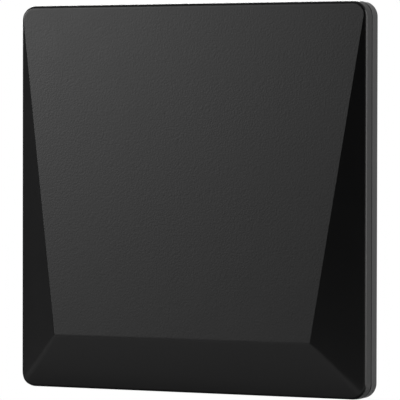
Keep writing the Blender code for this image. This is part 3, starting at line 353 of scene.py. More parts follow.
FINISHES = {
    "cover_black": two_texture_plastic("cover_black", (0.0045, 0.0045, 0.0047), 0.33, 0.398),
    "seal_rubber": grained("seal_rubber", (0.010, 0.010, 0.010), 0.80, grain=0.0009, relief=0.00003),
    "zinc_steel": grained("zinc_steel", (0.58, 0.59, 0.60), 0.32, 1.0, 0.0004, 0.000004, (1, 1, 0.2)),
    "coated_black": grained("coated_black", (0.014, 0.014, 0.0145), 0.48, grain=0.0007, relief=0.00004),
    "knob_black": grained("knob_black", (0.012, 0.012, 0.0125), 0.40, grain=0.0005, relief=0.00001),
    "sheet_aluminium": grained(
        "sheet_aluminium", (0.75, 0.76, 0.77), 0.36, 1.0, 0.0006, 0.000005, (1, 1, 0.1)),
    "bare_copper": grained("bare_copper", (0.72, 0.40, 0.27), 0.32, 1.0, 0.0008, 0.000005, (0.1, 1, 1)),
    "turned_brass": grained("turned_brass", (0.72, 0.56, 0.28), 0.28, 1.0, 0.0004, 0.000004),
    "bright_nickel": grained("bright_nickel", (0.66, 0.64, 0.60), 0.22, 1.0, 0.0004, 0.000003),
    "tinned_sheet": grained("tinned_sheet", (0.68, 0.69, 0.70), 0.34, 1.0, 0.0007, 0.000006),
    "natural_nylon": grained("natural_nylon", (0.80, 0.78, 0.72), 0.50, grain=0.0006, relief=0.00001),
    "board_green": grained("board_green", (0.020, 0.110, 0.050), 0.40, grain=0.0009, relief=0.00001),
    "chip_resin": grained("chip_resin", (0.022, 0.022, 0.024), 0.50, grain=0.0003, relief=0.00001),
    "filter_ceramic": grained("filter_ceramic", (0.70, 0.62, 0.50), 0.35, grain=0.0005, relief=0.00001),
    "lead_jacket": grained("lead_jacket", (0.160, 0.075, 0.035), 0.45, grain=0.0005, relief=0.00001),
}
for part in frame["record"]["subparts"]:
    shown = NODES[part["node"]].data
    shown.materials.clear()
    shown.materials.append(FINISHES[part["material_slot"]])
print("finishes:", len(FINISHES))

# %% [markdown]
# ## From arrays to pieces
#
# A ring is one closed loop of points. A loft is a skin over a stack of rings, and it is closed by one
# face at each end, or runs on into its own start, as a washer does. Numpy numbers the corners of all
# its faces at once. Where pieces of one casting meet, or a hole goes through, Blender's Boolean joins
# and cuts the lofts, and a Bevel softens the edges that are left.

# %% Helpers for lofts
MERGE_DISTANCE = 1e-6


def loft(rings, endless=False):
    """Points and faces of a skin over rings, an array (rings, points, 3): each face joins two
    neighbours in one ring to the same two in the next ring."""
    rows, columns = rings.shape[:2]
    number = np.arange(rows * columns).reshape(rows, columns)
    above = np.roll(number, -1, axis=0) if endless else number[1:]
    below = number if endless else number[:-1]
    quads = np.stack((below, np.roll(below, -1, axis=1), np.roll(above, -1, axis=1), above), axis=-1)
    faces = quads.reshape(-1, 4).tolist()
    ends = [] if endless else [number[0].tolist(), number[-1].tolist()]
    return rings.reshape(-1, 3), faces + ends


def build_mesh(name, parts):
    """One mesh from closed lofts, with all faces turned outwards."""
    starts = np.cumsum([0] + [len(points) for points, faces in parts])
    points = np.concatenate([points for points, faces in parts])
    faces = [[start + corner for corner in face]
             for start, part in zip(starts, parts) for face in part[1]]
    mesh = bpy.data.meshes.new(name)
    mesh.from_pydata(points.tolist(), [], faces)
    settle(mesh)
    return mesh


def settle(mesh):
    """Merge doubled points and turn the faces outwards."""
    shell = bmesh.new()
    shell.from_mesh(mesh)
    bmesh.ops.remove_doubles(shell, verts=shell.verts, dist=MERGE_DISTANCE)
    bmesh.ops.recalc_face_normals(shell, faces=shell.faces)
    shell.to_mesh(mesh)
    shell.free()


def shade(mesh, crease):
    """Shade smoothly, except where two faces meet at more than the crease angle."""
    mesh.shade_smooth()
    mesh.set_sharp_from_angle(angle=math.radians(crease))


def make_piece(name, parts, body, slot, nodes, crease=35):
    """One object from closed lofts. It rides on a body, and stands for its nodes."""
    mesh = build_mesh(name, parts)
    shade(mesh, crease)
    mesh.materials.append(FINISHES[slot])
    piece = bpy.data.objects.new(name, mesh)
    bpy.context.scene.collection.objects.link(piece)
    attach(piece, body)
    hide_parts(*nodes)
    print(name, "has", len(mesh.vertices), "points")
    return piece


def keep_modified(piece, crease):
    """Keep the shape that the piece's modifiers give, and take the modifiers off."""
    graph = bpy.context.evaluated_depsgraph_get()
    shaped = bpy.data.meshes.new_from_object(piece.evaluated_get(graph))
    piece.modifiers.clear()
    piece.data = shaped
    settle(shaped)
    shade(shaped, crease)


def carve(piece, operation, parts, crease=35):
    """Join closed lofts to a piece, for UNION, or cut them out of it, for DIFFERENCE."""
    tool = bpy.data.objects.new("tool", build_mesh("tool", parts))
    bpy.context.scene.collection.objects.link(tool)
    step = piece.modifiers.new("carve", "BOOLEAN")
    step.operation = operation
    step.object = tool
    keep_modified(piece, crease)
    bpy.data.objects.remove(tool)


def soften(piece, width, crease=35):
    """Round each edge that is sharper than the crease."""
    bevel = piece.modifiers.new("soft_edges", "BEVEL")
    bevel.width = width
    bevel.segments = 3
    bevel.limit_method = "ANGLE"
    bevel.angle_limit = math.radians(crease)
    bevel.harden_normals = True


def set_grain(piece, values):
    """Write how matte each point of a cover is: 0 for smooth, 1 for pebbled."""
    piece.data.attributes.new("grain", "FLOAT", "POINT").data.foreach_set("value", values)


# %% [markdown]
# ## The panel's outline
#
# Both covers follow one outline: a square with round corners. The points are closer together near the
# corners, where the facets meet, and every ring has the same number of them, so that rings can be
# joined one to one.

# %% Panel outline
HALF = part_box("front_cover")[1].x
CORNER = 0.0085
LEAST_CORNER = 0.0008
ARC_POINTS = 17
SIDE_STEPS = 36
ARC = np.linspace(0, 1, ARC_POINTS)
SIDE = (1 - np.cos(np.pi * np.arange(1, SIDE_STEPS) / SIDE_STEPS)) / 2
SIGNS = np.array(((1, 1), (-1, 1), (-1, -1), (1, -1)))
QUARTER_ANGLES = np.pi / 2 * (np.arange(4)[:, None] + ARC)
QUARTER_CIRCLES = np.stack((np.cos(QUARTER_ANGLES), np.sin(QUARTER_ANGLES)), axis=-1)


def join_arcs(arcs):
    """Four corner arcs (4, n, 2) and straight sides between them, as one loop."""
    start = arcs[:, -1]
    end = np.roll(arcs[:, 0], -1, axis=0)
    sides = start[:, None] + SIDE[None, :, None] * (end - start)[:, None]
    return np.concatenate((arcs, sides), axis=1).reshape(-1, 2)


def rounded_rectangle(half_sizes, radius):
    """A rectangle about the origin with round corners: four quarter circles and the sides between."""
    middles = (np.array(half_sizes) - radius) * SIGNS
    return join_arcs(middles[:, None] + radius * QUARTER_CIRCLES)


def outline(inset):
    """The panel's outline drawn in by an inset, as (x, z) points."""
    return rounded_rectangle((HALF - inset, HALF - inset), max(CORNER - inset, LEAST_CORNER))


def ring(loop, depth):
    """An (x, z) loop at a depth along Y, one depth or one for each point."""
    return np.column_stack((loop[:, 0], np.broadcast_to(depth, len(loop)), loop[:, 1]))


print("outline of", len(outline(0.0)), "points, half width", round(HALF, 4))

# %% [markdown]
# ## The front cover
#
# The face is cut by four planes: a middle face that leans back, two side facets and a bottom facet.
# At any point the surface is the one of the four that lies deepest. A soft maximum rounds the edge
# between two planes: the side creases are crisp, the bottom one is a little softer, and the diagonals
# at the bottom corners are the softest, as in the photograph. The rings run from the seam up the wall,
# round the rim, over the facets to the creases and on to the middle, so that an edge of the mesh lies
# along every crease.

# %% Front cover: the four planes
FRONT_WALL = 0.0063
SEAM_FRONT = RIM_Y + FRONT_WALL
SIDE_INSET = 0.0275
BOTTOM_INSET = 0.0291
TOP_RAISE = 0.0001
DRAFT = 0.0002
RIM_FILLET = 0.0014
COVER_WALL = 0.0022
CREST_Z = BOTTOM_INSET - HALF
MIDDLE_SLOPE = (CREST_RAISE - TOP_RAISE) / (HALF - CREST_Z)
SIDE_SLOPE = CREST_RAISE / SIDE_INSET
BOTTOM_SLOPE = CREST_RAISE / BOTTOM_INSET
SIDE_SOFTNESS = 0.00006
BOTTOM_SOFTNESS = 0.0004
DIAGONAL_SOFTNESS = 0.0011
DIAGONAL_START = 0.002
TOP_ROLL = 80.0
TOP_ROLL_REACH = 0.0008
TOP_ROLL_Z = HALF - DRAFT - RIM_FILLET - TOP_ROLL_REACH


def soft_maximum(first, second, softness):
    """The larger of two depths, with a parabola where they differ by less than the softness."""
    near = np.clip(1 - np.abs(first - second) / softness, 0, 1)
    return np.maximum(first, second) + softness * near**2 / 4


def front_depth(loop):
    """Depth of the front at (x, z) points: the soft maximum of middle, side and bottom planes, and a
    parabola that rolls the top edge back."""
    x, z = np.abs(loop[:, 0]), loop[:, 1]
    middle = CREST_Y + MIDDLE_SLOPE * (z - CREST_Z)
    side = RIM_Y - SIDE_SLOPE * (HALF - DRAFT - x)
    bottom = RIM_Y - BOTTOM_SLOPE * (HALF - DRAFT + z)
    beside = np.clip((side - middle) / DIAGONAL_START, 0, 1)
    softness = BOTTOM_SOFTNESS + (DIAGONAL_SOFTNESS - BOTTOM_SOFTNESS) * beside
    roll = TOP_ROLL * np.maximum(z - TOP_ROLL_Z, 0) ** 2
    return soft_maximum(soft_maximum(middle, side, SIDE_SOFTNESS), bottom, softness) + roll


def crease_x(z):
    """Half width of the middle face at a height: where the middle plane meets a side plane."""
    raised = CREST_RAISE - MIDDLE_SLOPE * (z - CREST_Z)
    return HALF - DRAFT - raised / SIDE_SLOPE


print("middle face leans back", round(math.degrees(math.atan(MIDDLE_SLOPE)), 2), "degrees")

# %% Front cover: rings from the seam to the middle
LIP = 0.0001
CREST_CORNER = 0.0012
SEAM_EDGE = 0.0002
STEPS_OUT = np.array((20, 12, 7, 4.5, 3, 2.2, 1.6, 1.1, 0.7, 0.45, 0.25, 0.1)) / 1000
SHARES_OUT = np.linspace(0.94, 0.06, len(STEPS_OUT))
STEPS_IN = np.array((0.1, 0.25, 0.45, 0.7, 1.1, 1.6, 2.2, 3, 4.5, 7, 12, 20, 40)) / 1000
QUARTER = np.linspace(0, np.pi / 2, 9)
SEAM_TURNS = QUARTER[::4]
HOLDS = (0.04, 0.96)
INNER_THICKNESS = 1.1 * COVER_WALL
INNER_SHARE = 0.97


def middle_outline():
    """The middle face: round corners at the top, both creases, and the crest with tight corners."""
    inset = DRAFT + RIM_FILLET + LIP
    top_radius = CORNER - inset
    top = HALF - inset - top_radius
    low_z = CREST_Z + CREST_CORNER
    low_x = crease_x(low_z) - CREST_CORNER
    middles = np.array(((top, top), (-top, top), (-low_x, low_z), (low_x, low_z)))
    radii = np.array((top_radius, top_radius, CREST_CORNER, CREST_CORNER))
    arcs = middles[:, None] + radii[:, None, None] * QUARTER_CIRCLES
    limit = crease_x(arcs[..., 1])
    arcs[..., 0] = np.clip(arcs[..., 0], -limit, limit)
    return join_arcs(arcs)


def front_rings():
    """Rings of the front cover, from its inside over the seam and the face, and each ring's grain."""
    inner = outline(COVER_WALL + DRAFT)
    middle = middle_outline()
    rings = [ring(loop, front_depth(loop) + INNER_THICKNESS) for loop in (middle * INNER_SHARE, inner)]
    rings.append(ring(outline(COVER_WALL), SEAM_FRONT))
    for turn in SEAM_TURNS:
        inset = SEAM_EDGE * (1 - np.sin(turn))
        rings.append(ring(outline(inset), SEAM_FRONT - SEAM_EDGE * (1 - np.cos(turn))))
    low, high = front_depth(outline(DRAFT)) + RIM_FILLET, SEAM_FRONT - SEAM_EDGE
    for share in HOLDS:
        rings.append(ring(outline(DRAFT * share), high + (low - high) * share))
    for turn in QUARTER:
        loop = outline(DRAFT + RIM_FILLET * (1 - np.cos(turn)))
        rings.append(ring(loop, front_depth(loop) + RIM_FILLET * (1 - np.sin(turn))))
    edge = outline(DRAFT + RIM_FILLET)
    reach = np.linalg.norm(edge - middle, axis=1)
    for step, share in zip(STEPS_OUT, SHARES_OUT):
        loop = middle + (edge - middle) * np.minimum(step / reach, share)[:, None]
        rings.append(ring(loop, front_depth(loop)))
    smooth_rings = len(rings)
    rings.append(ring(middle, front_depth(middle)))
    reach = np.linalg.norm(middle, axis=1)
    for step in STEPS_IN:
        loop = middle * (1 - step / reach)[:, None]
        rings.append(ring(loop, front_depth(loop)))
    grain = np.arange(len(rings)) >= smooth_rings
    return np.array(rings), np.repeat(grain.astype(np.float32), len(middle))


rings, grain = front_rings()
front = make_piece("front_shell", [loft(rings)], "panel", "cover_black", ["front_cover"], crease=16)
set_grain(front, grain)

# %% [markdown]
# ## The rear cover
#
# A shallow tray with a rounded back edge, a tongue that reaches into the front cover, and six recesses
# for the screws. Its section is a short list of insets and depths carried round the outline. The
# recesses are cut afterwards, because a hole in a flat face is easier to cut than to weave round.

# %% Rear cover
REAR_LOW, REAR_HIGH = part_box("rear_cover")
BACK_Y = REAR_HIGH.y
SEAM_GAP = 0.0005
SEAM_REAR = SEAM_FRONT + SEAM_GAP
BACK_FILLET = 0.0005
GROOVE_INSET = 0.0009
GROOVE_DEPTH = 0.0016
GROOVE_Y = SEAM_FRONT + GROOVE_DEPTH
TONGUE_OUTER = 0.0025
TONGUE_INNER = 0.0037
TONGUE_TIP = REAR_LOW.y


def rear_rings():
    """Rings of the tray: back edge, wall, seam edge, groove, tongue and floor."""
    section = []
    for turn in QUARTER:
        inset = DRAFT + BACK_FILLET * (1 - np.sin(turn))
        section.append((inset, BACK_Y - BACK_FILLET * (1 - np.cos(turn))))
    low, high = BACK_Y - BACK_FILLET, SEAM_REAR + SEAM_EDGE
    section += [(DRAFT * (1 - share), low + (high - low) * share) for share in HOLDS]
    for turn in SEAM_TURNS:
        section.append((SEAM_EDGE * (1 - np.cos(turn)), SEAM_REAR + SEAM_EDGE * (1 - np.sin(turn))))
    section += [(GROOVE_INSET, SEAM_REAR), (GROOVE_INSET, GROOVE_Y), (TONGUE_OUTER, GROOVE_Y)]
    section += [(TONGUE_OUTER, TONGUE_TIP), (TONGUE_INNER, TONGUE_TIP)]
    section.append((TONGUE_INNER, BACK_Y - COVER_WALL))
    return np.array([ring(outline(inset), depth) for inset, depth in section])


rear = make_piece("rear_shell", [loft(rear_rings())], "panel", "cover_black", ["rear_cover"], crease=40)

# %% [markdown]
# ## Turned pieces
#
# Screws, bolts, nuts, washers and the jack come from a lathe: each is a list of rows, a radius and a
# height along an axis, carried round that axis. A hexagon is a radius that depends on the angle. A
# thread is a radius that depends on the angle and the height together, so it needs no extra mesh.

# %% Helpers for turned pieces
HALF_TURN_STEPS = 36
ROUND = np.arange(2 * HALF_TURN_STEPS) * np.pi / HALF_TURN_STEPS
AXES = {
    "X": np.array(((0, 1, 0), (0, 0, 1), (1, 0, 0))),
    "Y": np.array(((0, 0, 1), (1, 0, 0), (0, 1, 0))),
    "Z": np.eye(3),
}
THREAD_ROWS = 6


def turned(rows, axis, middle):
    """Rings about an axis through middle: every row is a radius and a height along the axis, each one
    number or one for every angle."""
    grid = np.array([[np.broadcast_to(part, ROUND.shape) for part in row] for row in rows])
    local = np.stack((grid[:, 0] * np.cos(ROUND), grid[:, 0] * np.sin(ROUND), grid[:, 1]), axis=-1)
    return local @ AXES[axis] + np.array(middle)


def hexagon(flats):
    """Radius of a hexagon at every angle: half its width over the cosine of the angle from a flat."""
    return flats / 2 / np.cos(ROUND % (np.pi / 3) - np.pi / 6)


def thread(radius, depth, pitch, start, end):
    """Rows of a thread: the radius falls and rises once in a pitch, each turn is one pitch further, and
    the groove runs out at both ends."""
    heights = np.linspace(start, end, math.ceil(THREAD_ROWS * abs(end - start) / pitch) + 1)
    phase = (heights[:, None] / pitch - ROUND / (2 * np.pi)) % 1
    ends = np.minimum(np.abs(heights - start), np.abs(heights - end)) / pitch
    groove = np.abs(2 * phase - 1) * np.clip(ends, 0, 1)[:, None]
    return list(zip(radius - depth * groove, heights))


def rounded(points, reach, steps=4):
    """A closed polygon whose corners are parabolas that start and end a reach away from the corner."""
    points = np.array(points)
    before = np.roll(points, 1, axis=0) - points
    after = np.roll(points, -1, axis=0) - points
    start = points + reach * before / np.linalg.norm(before, axis=1, keepdims=True)
    end = points + reach * after / np.linalg.norm(after, axis=1, keepdims=True)
    share = np.linspace(0, 1, steps + 1)[:, None]
    near, middle, far = (1 - share) ** 2, 2 * share * (1 - share), share**2
    return (near * start[:, None] + middle * points[:, None] + far * end[:, None]).reshape(-1, 2)


def size_along(name, axis):
    """A node's lowest and highest place along an axis."""
    low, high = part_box(name)
    return low["XYZ".index(axis)], high["XYZ".index(axis)]


def middle_of(name):
    """The middle of a node's box."""
    low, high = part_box(name)
    return (np.array(low) + np.array(high)) / 2


print("a turned ring has", len(ROUND), "points")

# %% [markdown]
# ## Screws
#
# Six small screws close the covers from behind and four larger ones hold the bracket. The head is a
# low dome with a cross recess. Its height is a function of the place on the head: the dome, less the
# depth of the recess where the place lies in one of the two arms of the cross.

# %% Screws
HEAD_RIM = 0.55
CROSS_SPAN = 0.58
CROSS_WIDTH = 0.13
CROSS_DEPTH = 0.62
CROSS_FLANK = 0.05
CROSS_TAPER = 0.4
SCREW_POINT = 0.60
GROOVE_SHARE = 0.16
HEAD_STEPS = np.concatenate(((1, 0.995, 0.98, 0.96), np.linspace(0.93, 0.03, 26)))


def inside(value, half, flank):
    """1 inside a half width, 0 outside, and a straight flank between."""
    return np.clip((half + flank - np.abs(value)) / (2 * flank), 0, 1)


def screw_rows(shank, head, height, length, pitch):
    """Rows of a screw from its tip, along its thread and over its head to the middle of the cross."""
    tip = SCREW_POINT * shank
    rows = [(tip, -length)] + thread(shank, GROOVE_SHARE * shank, pitch, tip - length, 0.0)
    share = HEAD_STEPS[:, None]
    dome = HEAD_RIM + (1 - HEAD_RIM) * np.sqrt(1 - share**4)
    along, across = share * np.cos(ROUND), share * np.sin(ROUND)
    arms = [inside(one, CROSS_SPAN, CROSS_FLANK) * inside(other, CROSS_WIDTH, CROSS_FLANK)
            for one, other in ((along, across), (across, along))]
    cross = CROSS_DEPTH * (1 - CROSS_TAPER * share) * np.maximum(*arms)
    return rows + [(head, 0.0)] + list(zip(head * HEAD_STEPS, height * (dome - cross)))


def make_screws(names, slot, shank, head_height, pitch):
    """Each screw of a set along Y, its head towards +Y, from the box of its node."""
    for name in names:
        low, high = size_along(name, "Y")
        seat = high - head_height
        head = (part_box(name)[1].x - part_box(name)[0].x) / 2
        middle = middle_of(name)
        middle[1] = seat
        rows = screw_rows(shank, head, head_height, seat - low, pitch)
        skin = loft(turned(rows, "Y", middle))
        make_piece(name + "_turned", [skin], "panel", slot, [name], crease=40)


COVER_SCREWS = [f"cover_screw_{number}" for number in range(1, 7)]
BRACKET_SCREWS = [f"bracket_screw_{number}" for number in range(1, 5)]
make_screws(COVER_SCREWS, "zinc_steel", shank=0.0015, head_height=0.0016, pitch=0.0011)
make_screws(BRACKET_SCREWS, "zinc_steel", shank=0.0020, head_height=0.0026, pitch=0.0007)

# %% [markdown]
# ## Holes in the rear cover
#
# Each cover screw sits in a stepped hole: a wide cup for its head, with a small lead-in at the mouth,
# and a narrow way for its shank. The inserts of the bracket sit in plain wells.

# %% Holes in the rear cover
CUP_RADIUS = 0.0030
CUP_DEPTH = 0.0019
CUP_SEAT = BACK_Y - CUP_DEPTH
CUP_MOUTH = 0.0003
SHANK_WAY = 0.0018
INSERT_RADIUS = 0.0036
OVERCUT = 0.002
CUP_ROWS = ((SHANK_WAY, BACK_Y - 2 * COVER_WALL), (SHANK_WAY, CUP_SEAT), (CUP_RADIUS, CUP_SEAT))
CUP_ROWS += ((CUP_RADIUS, BACK_Y - CUP_MOUTH), (CUP_RADIUS + CUP_MOUTH, BACK_Y))
CUP_ROWS += ((CUP_RADIUS + CUP_MOUTH, BACK_Y + OVERCUT),)
WELL_ROWS = ((INSERT_RADIUS, BACK_Y - 2 * COVER_WALL), (INSERT_RADIUS, BACK_Y + OVERCUT))


def holes(names, rows):
    """Lofts along Y at the places of nodes, to be cut out."""
    return [loft(turned(rows, "Y", middle_of(name) * (1, 0, 1))) for name in names]


rear_holes = holes(COVER_SCREWS, CUP_ROWS) + holes(BRACKET_SCREWS, WELL_ROWS)
carve(rear, "DIFFERENCE", rear_holes, crease=40)
depths = np.empty(3 * len(rear.data.vertices))
rear.data.vertices.foreach_get("co", depths)
set_grain(rear, (depths[1::3] > BACK_Y - MERGE_DISTANCE).astype(np.float32))
print("rear cover has", len(rear.data.polygons), "faces after cutting")

# %% [markdown]
# ## Socket housing
#
# A small box welded to the back of the rear cover holds the jack. Its edges are round where a hand can
# reach them. It is a loft of rounded rectangles that draws in at its end, and its room is cut out.

# %% Socket housing
HOUSING_FILLET = 0.0020
HOUSING_LOW, HOUSING_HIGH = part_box("socket_housing")
HOUSING_MIDDLE = middle_of("socket_housing") * (1, 0, 1)
HOUSING_HALF = np.array((HOUSING_HIGH.x - HOUSING_LOW.x, HOUSING_HIGH.z - HOUSING_LOW.z)) / 2
JACK_MIDDLE = middle_of("coax_jack") * (1, 1, 0)
JACK_HOLE = 0.0050


def housing_ring(inset, radius, depth):
    """The housing's outline drawn in by an inset, at a depth."""
    return ring(rounded_rectangle(HOUSING_HALF - inset, radius), depth) + HOUSING_MIDDLE


def housing_rings():
    """Rings from the weld to the outer end, where a quarter circle draws them in."""
    rings = [housing_ring(0, HOUSING_FILLET, HOUSING_LOW.y)]
    for turn in QUARTER:
        inset = HOUSING_FILLET * (1 - np.cos(turn))
        depth = HOUSING_HIGH.y - HOUSING_FILLET * (1 - np.sin(turn))
        rings.append(housing_ring(inset, max(HOUSING_FILLET - inset, LEAST_CORNER / 4), depth))
    return np.array(rings)


box = loft(housing_rings())
housing = make_piece("socket_box", [box], "panel", "cover_black", ["socket_housing"], crease=40)
room = [housing_ring(COVER_WALL, LEAST_CORNER, depth)
        for depth in (HOUSING_LOW.y - OVERCUT, HOUSING_HIGH.y - COVER_WALL)]
carve(housing, "DIFFERENCE", [loft(np.array(room))], crease=40)
jack_way = [(JACK_HOLE, HOUSING_LOW.z - OVERCUT), (JACK_HOLE, HOUSING_LOW.z + 2 * OVERCUT)]
carve(housing, "DIFFERENCE", [loft(turned(jack_way, "Z", JACK_MIDDLE))], crease=40)
set_grain(housing, np.ones(len(housing.data.vertices), np.float32))

# %% [markdown]
# ## Coaxial jack
#
# The jack is a nickel barrel with a fine thread that comes out of the housing's underside. A nylon
# insulator fills its bore, with a brass contact in the middle. A rubber ring, a washer and a nut hold
# it. Each is turned from a few rows.

# %% Coaxial jack
BARREL = 0.0047
BORE = 0.0032
GAP = 0.0003
BORE_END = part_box("jack_contact")[1].z + GAP
JACK_LOW, JACK_HIGH = size_along("coax_jack", "Z")
JACK_TAIL = 0.0010
TAIL_LENGTH = 0.0030
FLANGE_FLATS = 0.0130
FLANGE_HEIGHT = 0.0030
FLANGE_HIGH = JACK_HIGH - TAIL_LENGTH
FLANGE_LOW = FLANGE_HIGH - FLANGE_HEIGHT
JACK_PITCH = 0.0008
JACK_GROOVE = 0.0004
MOUTH = 0.0005
CHAMFER_STEPS = np.array((0, 0.08, 0.16, 0.25, 0.35, 0.45, 0.6, 0.8)) / 1000
CHAMFER_START = 0.475
CHAMFER_SLOPE = 1.73
INSULATOR_HOLE = 0.0009
PIN_RADIUS = 0.0006
PIN_NOSE = 0.0005
PIN_TIP = 0.0002


def hex_end(flats, top, inwards):
    """Rows of a chamfered hexagon from its end inwards: the smaller of a hexagon and a widening cone."""
    cone = CHAMFER_START * flats + CHAMFER_SLOPE * CHAMFER_STEPS[:, None]
    return list(zip(np.minimum(hexagon(flats), cone), top + inwards * CHAMFER_STEPS))


def washer(name, body, slot, axis, hole, reach):
    """A flat ring with soft edges, from the box of its node and the radius of its hole."""
    low, high = size_along(name, axis)
    across = "Z" if axis == "X" else "X"
    outer = (size_along(name, across)[1] - size_along(name, across)[0]) / 2
    section = rounded([(hole, low), (outer, low), (outer, high), (hole, high)], reach)
    middle = middle_of(name) * (np.array(list("XYZ")) != axis)
    skin = loft(turned(section, axis, middle), endless=True)
    return make_piece(name + "_turned", [skin], body, slot, [name], crease=50)


def nut(name, body, slot, hole):
    """A hexagonal nut along Z, chamfered at both ends and at both mouths of its hole."""
    low, high = size_along(name, "Z")
    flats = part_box(name)[1].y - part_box(name)[0].y
    rows = hex_end(flats, low, 1) + hex_end(flats, high, -1)[::-1]
    rows += [(hole + MOUTH, high), (hole, high - MOUTH), (hole, low + MOUTH), (hole + MOUTH, low)]
    middle = middle_of(name) * (1, 1, 0)
    skin = loft(turned(rows, "Z", middle), endless=True)
    return make_piece(name + "_turned", [skin], body, slot, [name], crease=30)


rows = [(JACK_TAIL, JACK_HIGH), (JACK_TAIL, FLANGE_HIGH), (hexagon(FLANGE_FLATS), FLANGE_HIGH)]
rows += [(hexagon(FLANGE_FLATS), FLANGE_LOW), (BARREL, FLANGE_LOW)]
rows += thread(BARREL, JACK_GROOVE, JACK_PITCH, FLANGE_LOW - MOUTH, JACK_LOW + MOUTH)
rows += [(BARREL - MOUTH, JACK_LOW), (BORE + MOUTH / 2, JACK_LOW)]
rows += [(BORE, JACK_LOW + MOUTH / 2), (BORE, BORE_END)]
barrel = loft(turned(rows, "Z", JACK_MIDDLE))
make_piece("jack_barrel", [barrel], "panel", "bright_nickel", ["coax_jack"], crease=30)
washer("jack_insulator", "panel", "natural_nylon", "Z", INSULATOR_HOLE, reach=0.0003)
low, high = size_along("jack_contact", "Z")
rows = [(PIN_TIP, low), (PIN_NOSE, low + PIN_TIP), (PIN_RADIUS, low + PIN_NOSE), (PIN_RADIUS, high)]
pin = loft(turned(rows, "Z", JACK_MIDDLE))
make_piece("jack_pin", [pin], "panel", "turned_brass", ["jack_contact"])
washer("jack_seal_ring", "panel", "seal_rubber", "Z", JACK_HOLE, reach=0.00045)
washer("jack_washer", "panel", "zinc_steel", "Z", JACK_HOLE, reach=0.00015)
nut("jack_nut", "panel", "bright_nickel", JACK_HOLE)

# %% [markdown]
# ## Castings of the bracket
#
# The panel bracket, the arm and the wall plate are coated castings. Each starts from flat slabs and
# knuckles, which are joined, drilled and then softened at their edges by a Bevel, because rounding
# where two bodies meet is hard to write as one formula.

# %% Castings
EDGE = 0.0005
PIVOT_HOLE = 0.0033
TAB_POINTS = 37


def slab(loop, axis, low, high):
    """A loop carried straight along an axis, from low to high."""
    flat = [np.column_stack((loop, np.full(len(loop), level))) for level in (low, high)]
    return loft(np.array(flat) @ AXES[axis])


def tab(pivot, root, radius):
    """A tab's outline as (along, across): a half round about the pivot, and two corners at the root."""
    angle = np.linspace(-np.pi / 2, np.pi / 2, TAB_POINTS)
    reach = np.sign(pivot - root) * radius * np.cos(angle)
    end = np.column_stack((pivot + reach, radius * np.sin(angle)))
    return np.concatenate((end, ((root, radius), (root, -radius))))


def bore(axis, middle, reach, radius=PIVOT_HOLE):
    """A round cutter along an axis."""
    return loft(turned([(radius, -reach), (radius, reach)], axis, middle))


def knuckle(axis, middle, radius, half):
    """A short round bar along an axis."""
    return loft(turned([(radius, -half), (radius, half)], axis, middle))


print("castings have edges of", EDGE, "and pivot holes of", PIVOT_HOLE)

# %% [markdown]
# ## Panel bracket
#
# A square plate with two ears, screwed to the back of the panel. The ears take the tilt bolt and stand
# on both sides of the arm. They start inside the plate, so that the join leaves no slit.

# %% Panel bracket
PLATE_LOW, PLATE_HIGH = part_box("panel_bracket")
PLATE_HALF = PLATE_HIGH.x
PLATE_THICKNESS = 0.0030
PLATE_FACE = PLATE_LOW.y + PLATE_THICKNESS
PLATE_CORNER = 0.0060
EAR_RADIUS = 0.0090
EAR_INNER, EAR_OUTER = 0.0098, 0.0128
TILT_Y = PLATE_HIGH.y - EAR_RADIUS
SCREW_HOLE = 0.0023
SCREW_HOLE_ROWS = ((SCREW_HOLE, PLATE_LOW.y - OVERCUT), (SCREW_HOLE, PLATE_FACE + OVERCUT))

plate = slab(rounded_rectangle((PLATE_HALF, PLATE_HALF), PLATE_CORNER), "Y", PLATE_LOW.y, PLATE_FACE)
bracket = make_piece("bracket_casting", [plate], "panel", "coated_black", ["panel_bracket"])
ear = tab(TILT_Y, (PLATE_LOW.y + PLATE_FACE) / 2, EAR_RADIUS)
carve(bracket, "UNION", [slab(ear, "X", EAR_INNER, EAR_OUTER), slab(ear, "X", -EAR_OUTER, -EAR_INNER)])
carve(bracket, "DIFFERENCE", [bore("X", (0, TILT_Y, 0), 2 * EAR_OUTER)])
carve(bracket, "DIFFERENCE", holes(BRACKET_SCREWS, SCREW_HOLE_ROWS))
soften(bracket, EDGE)

# %% [markdown]
# ## Arm
#
# Two knuckles at right angles with a web between them: the rear one turns on the upright swivel bolt
# and the front one carries the tilt bolt. They are joined one at a time, because web and knuckle overlap
# and a tool that overlaps itself can leave faces inside the casting.

# %% Arm
KNUCKLE = 0.0085
SWIVEL_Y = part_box("swivel_arm")[1].y - KNUCKLE
ARM_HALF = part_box("swivel_arm")[1].z
WEB_HALF = 0.0060

swivel_knuckle = knuckle("Z", (0, SWIVEL_Y, 0), KNUCKLE, ARM_HALF)
arm = make_piece("arm_casting", [swivel_knuckle], "arm", "coated_black", ["swivel_arm"])
web = slab(rounded_rectangle((WEB_HALF, WEB_HALF), EDGE), "Y", TILT_Y, SWIVEL_Y)
carve(arm, "UNION", [web])
carve(arm, "UNION", [knuckle("X", (0, TILT_Y, 0), KNUCKLE, ARM_HALF)])
carve(arm, "DIFFERENCE", [bore("Z", (0, SWIVEL_Y, 0), 2 * ARM_HALF)])
carve(arm, "DIFFERENCE", [bore("X", (0, TILT_Y, 0), 2 * ARM_HALF)])
soften(arm, EDGE)

# %% [markdown]
# ## Wall plate
#
# The plate that is screwed to the wall, with two lugs that hold the swivel bolt. Its four screw holes
# are countersunk, so that flat heads don't stand in the way of the arm.

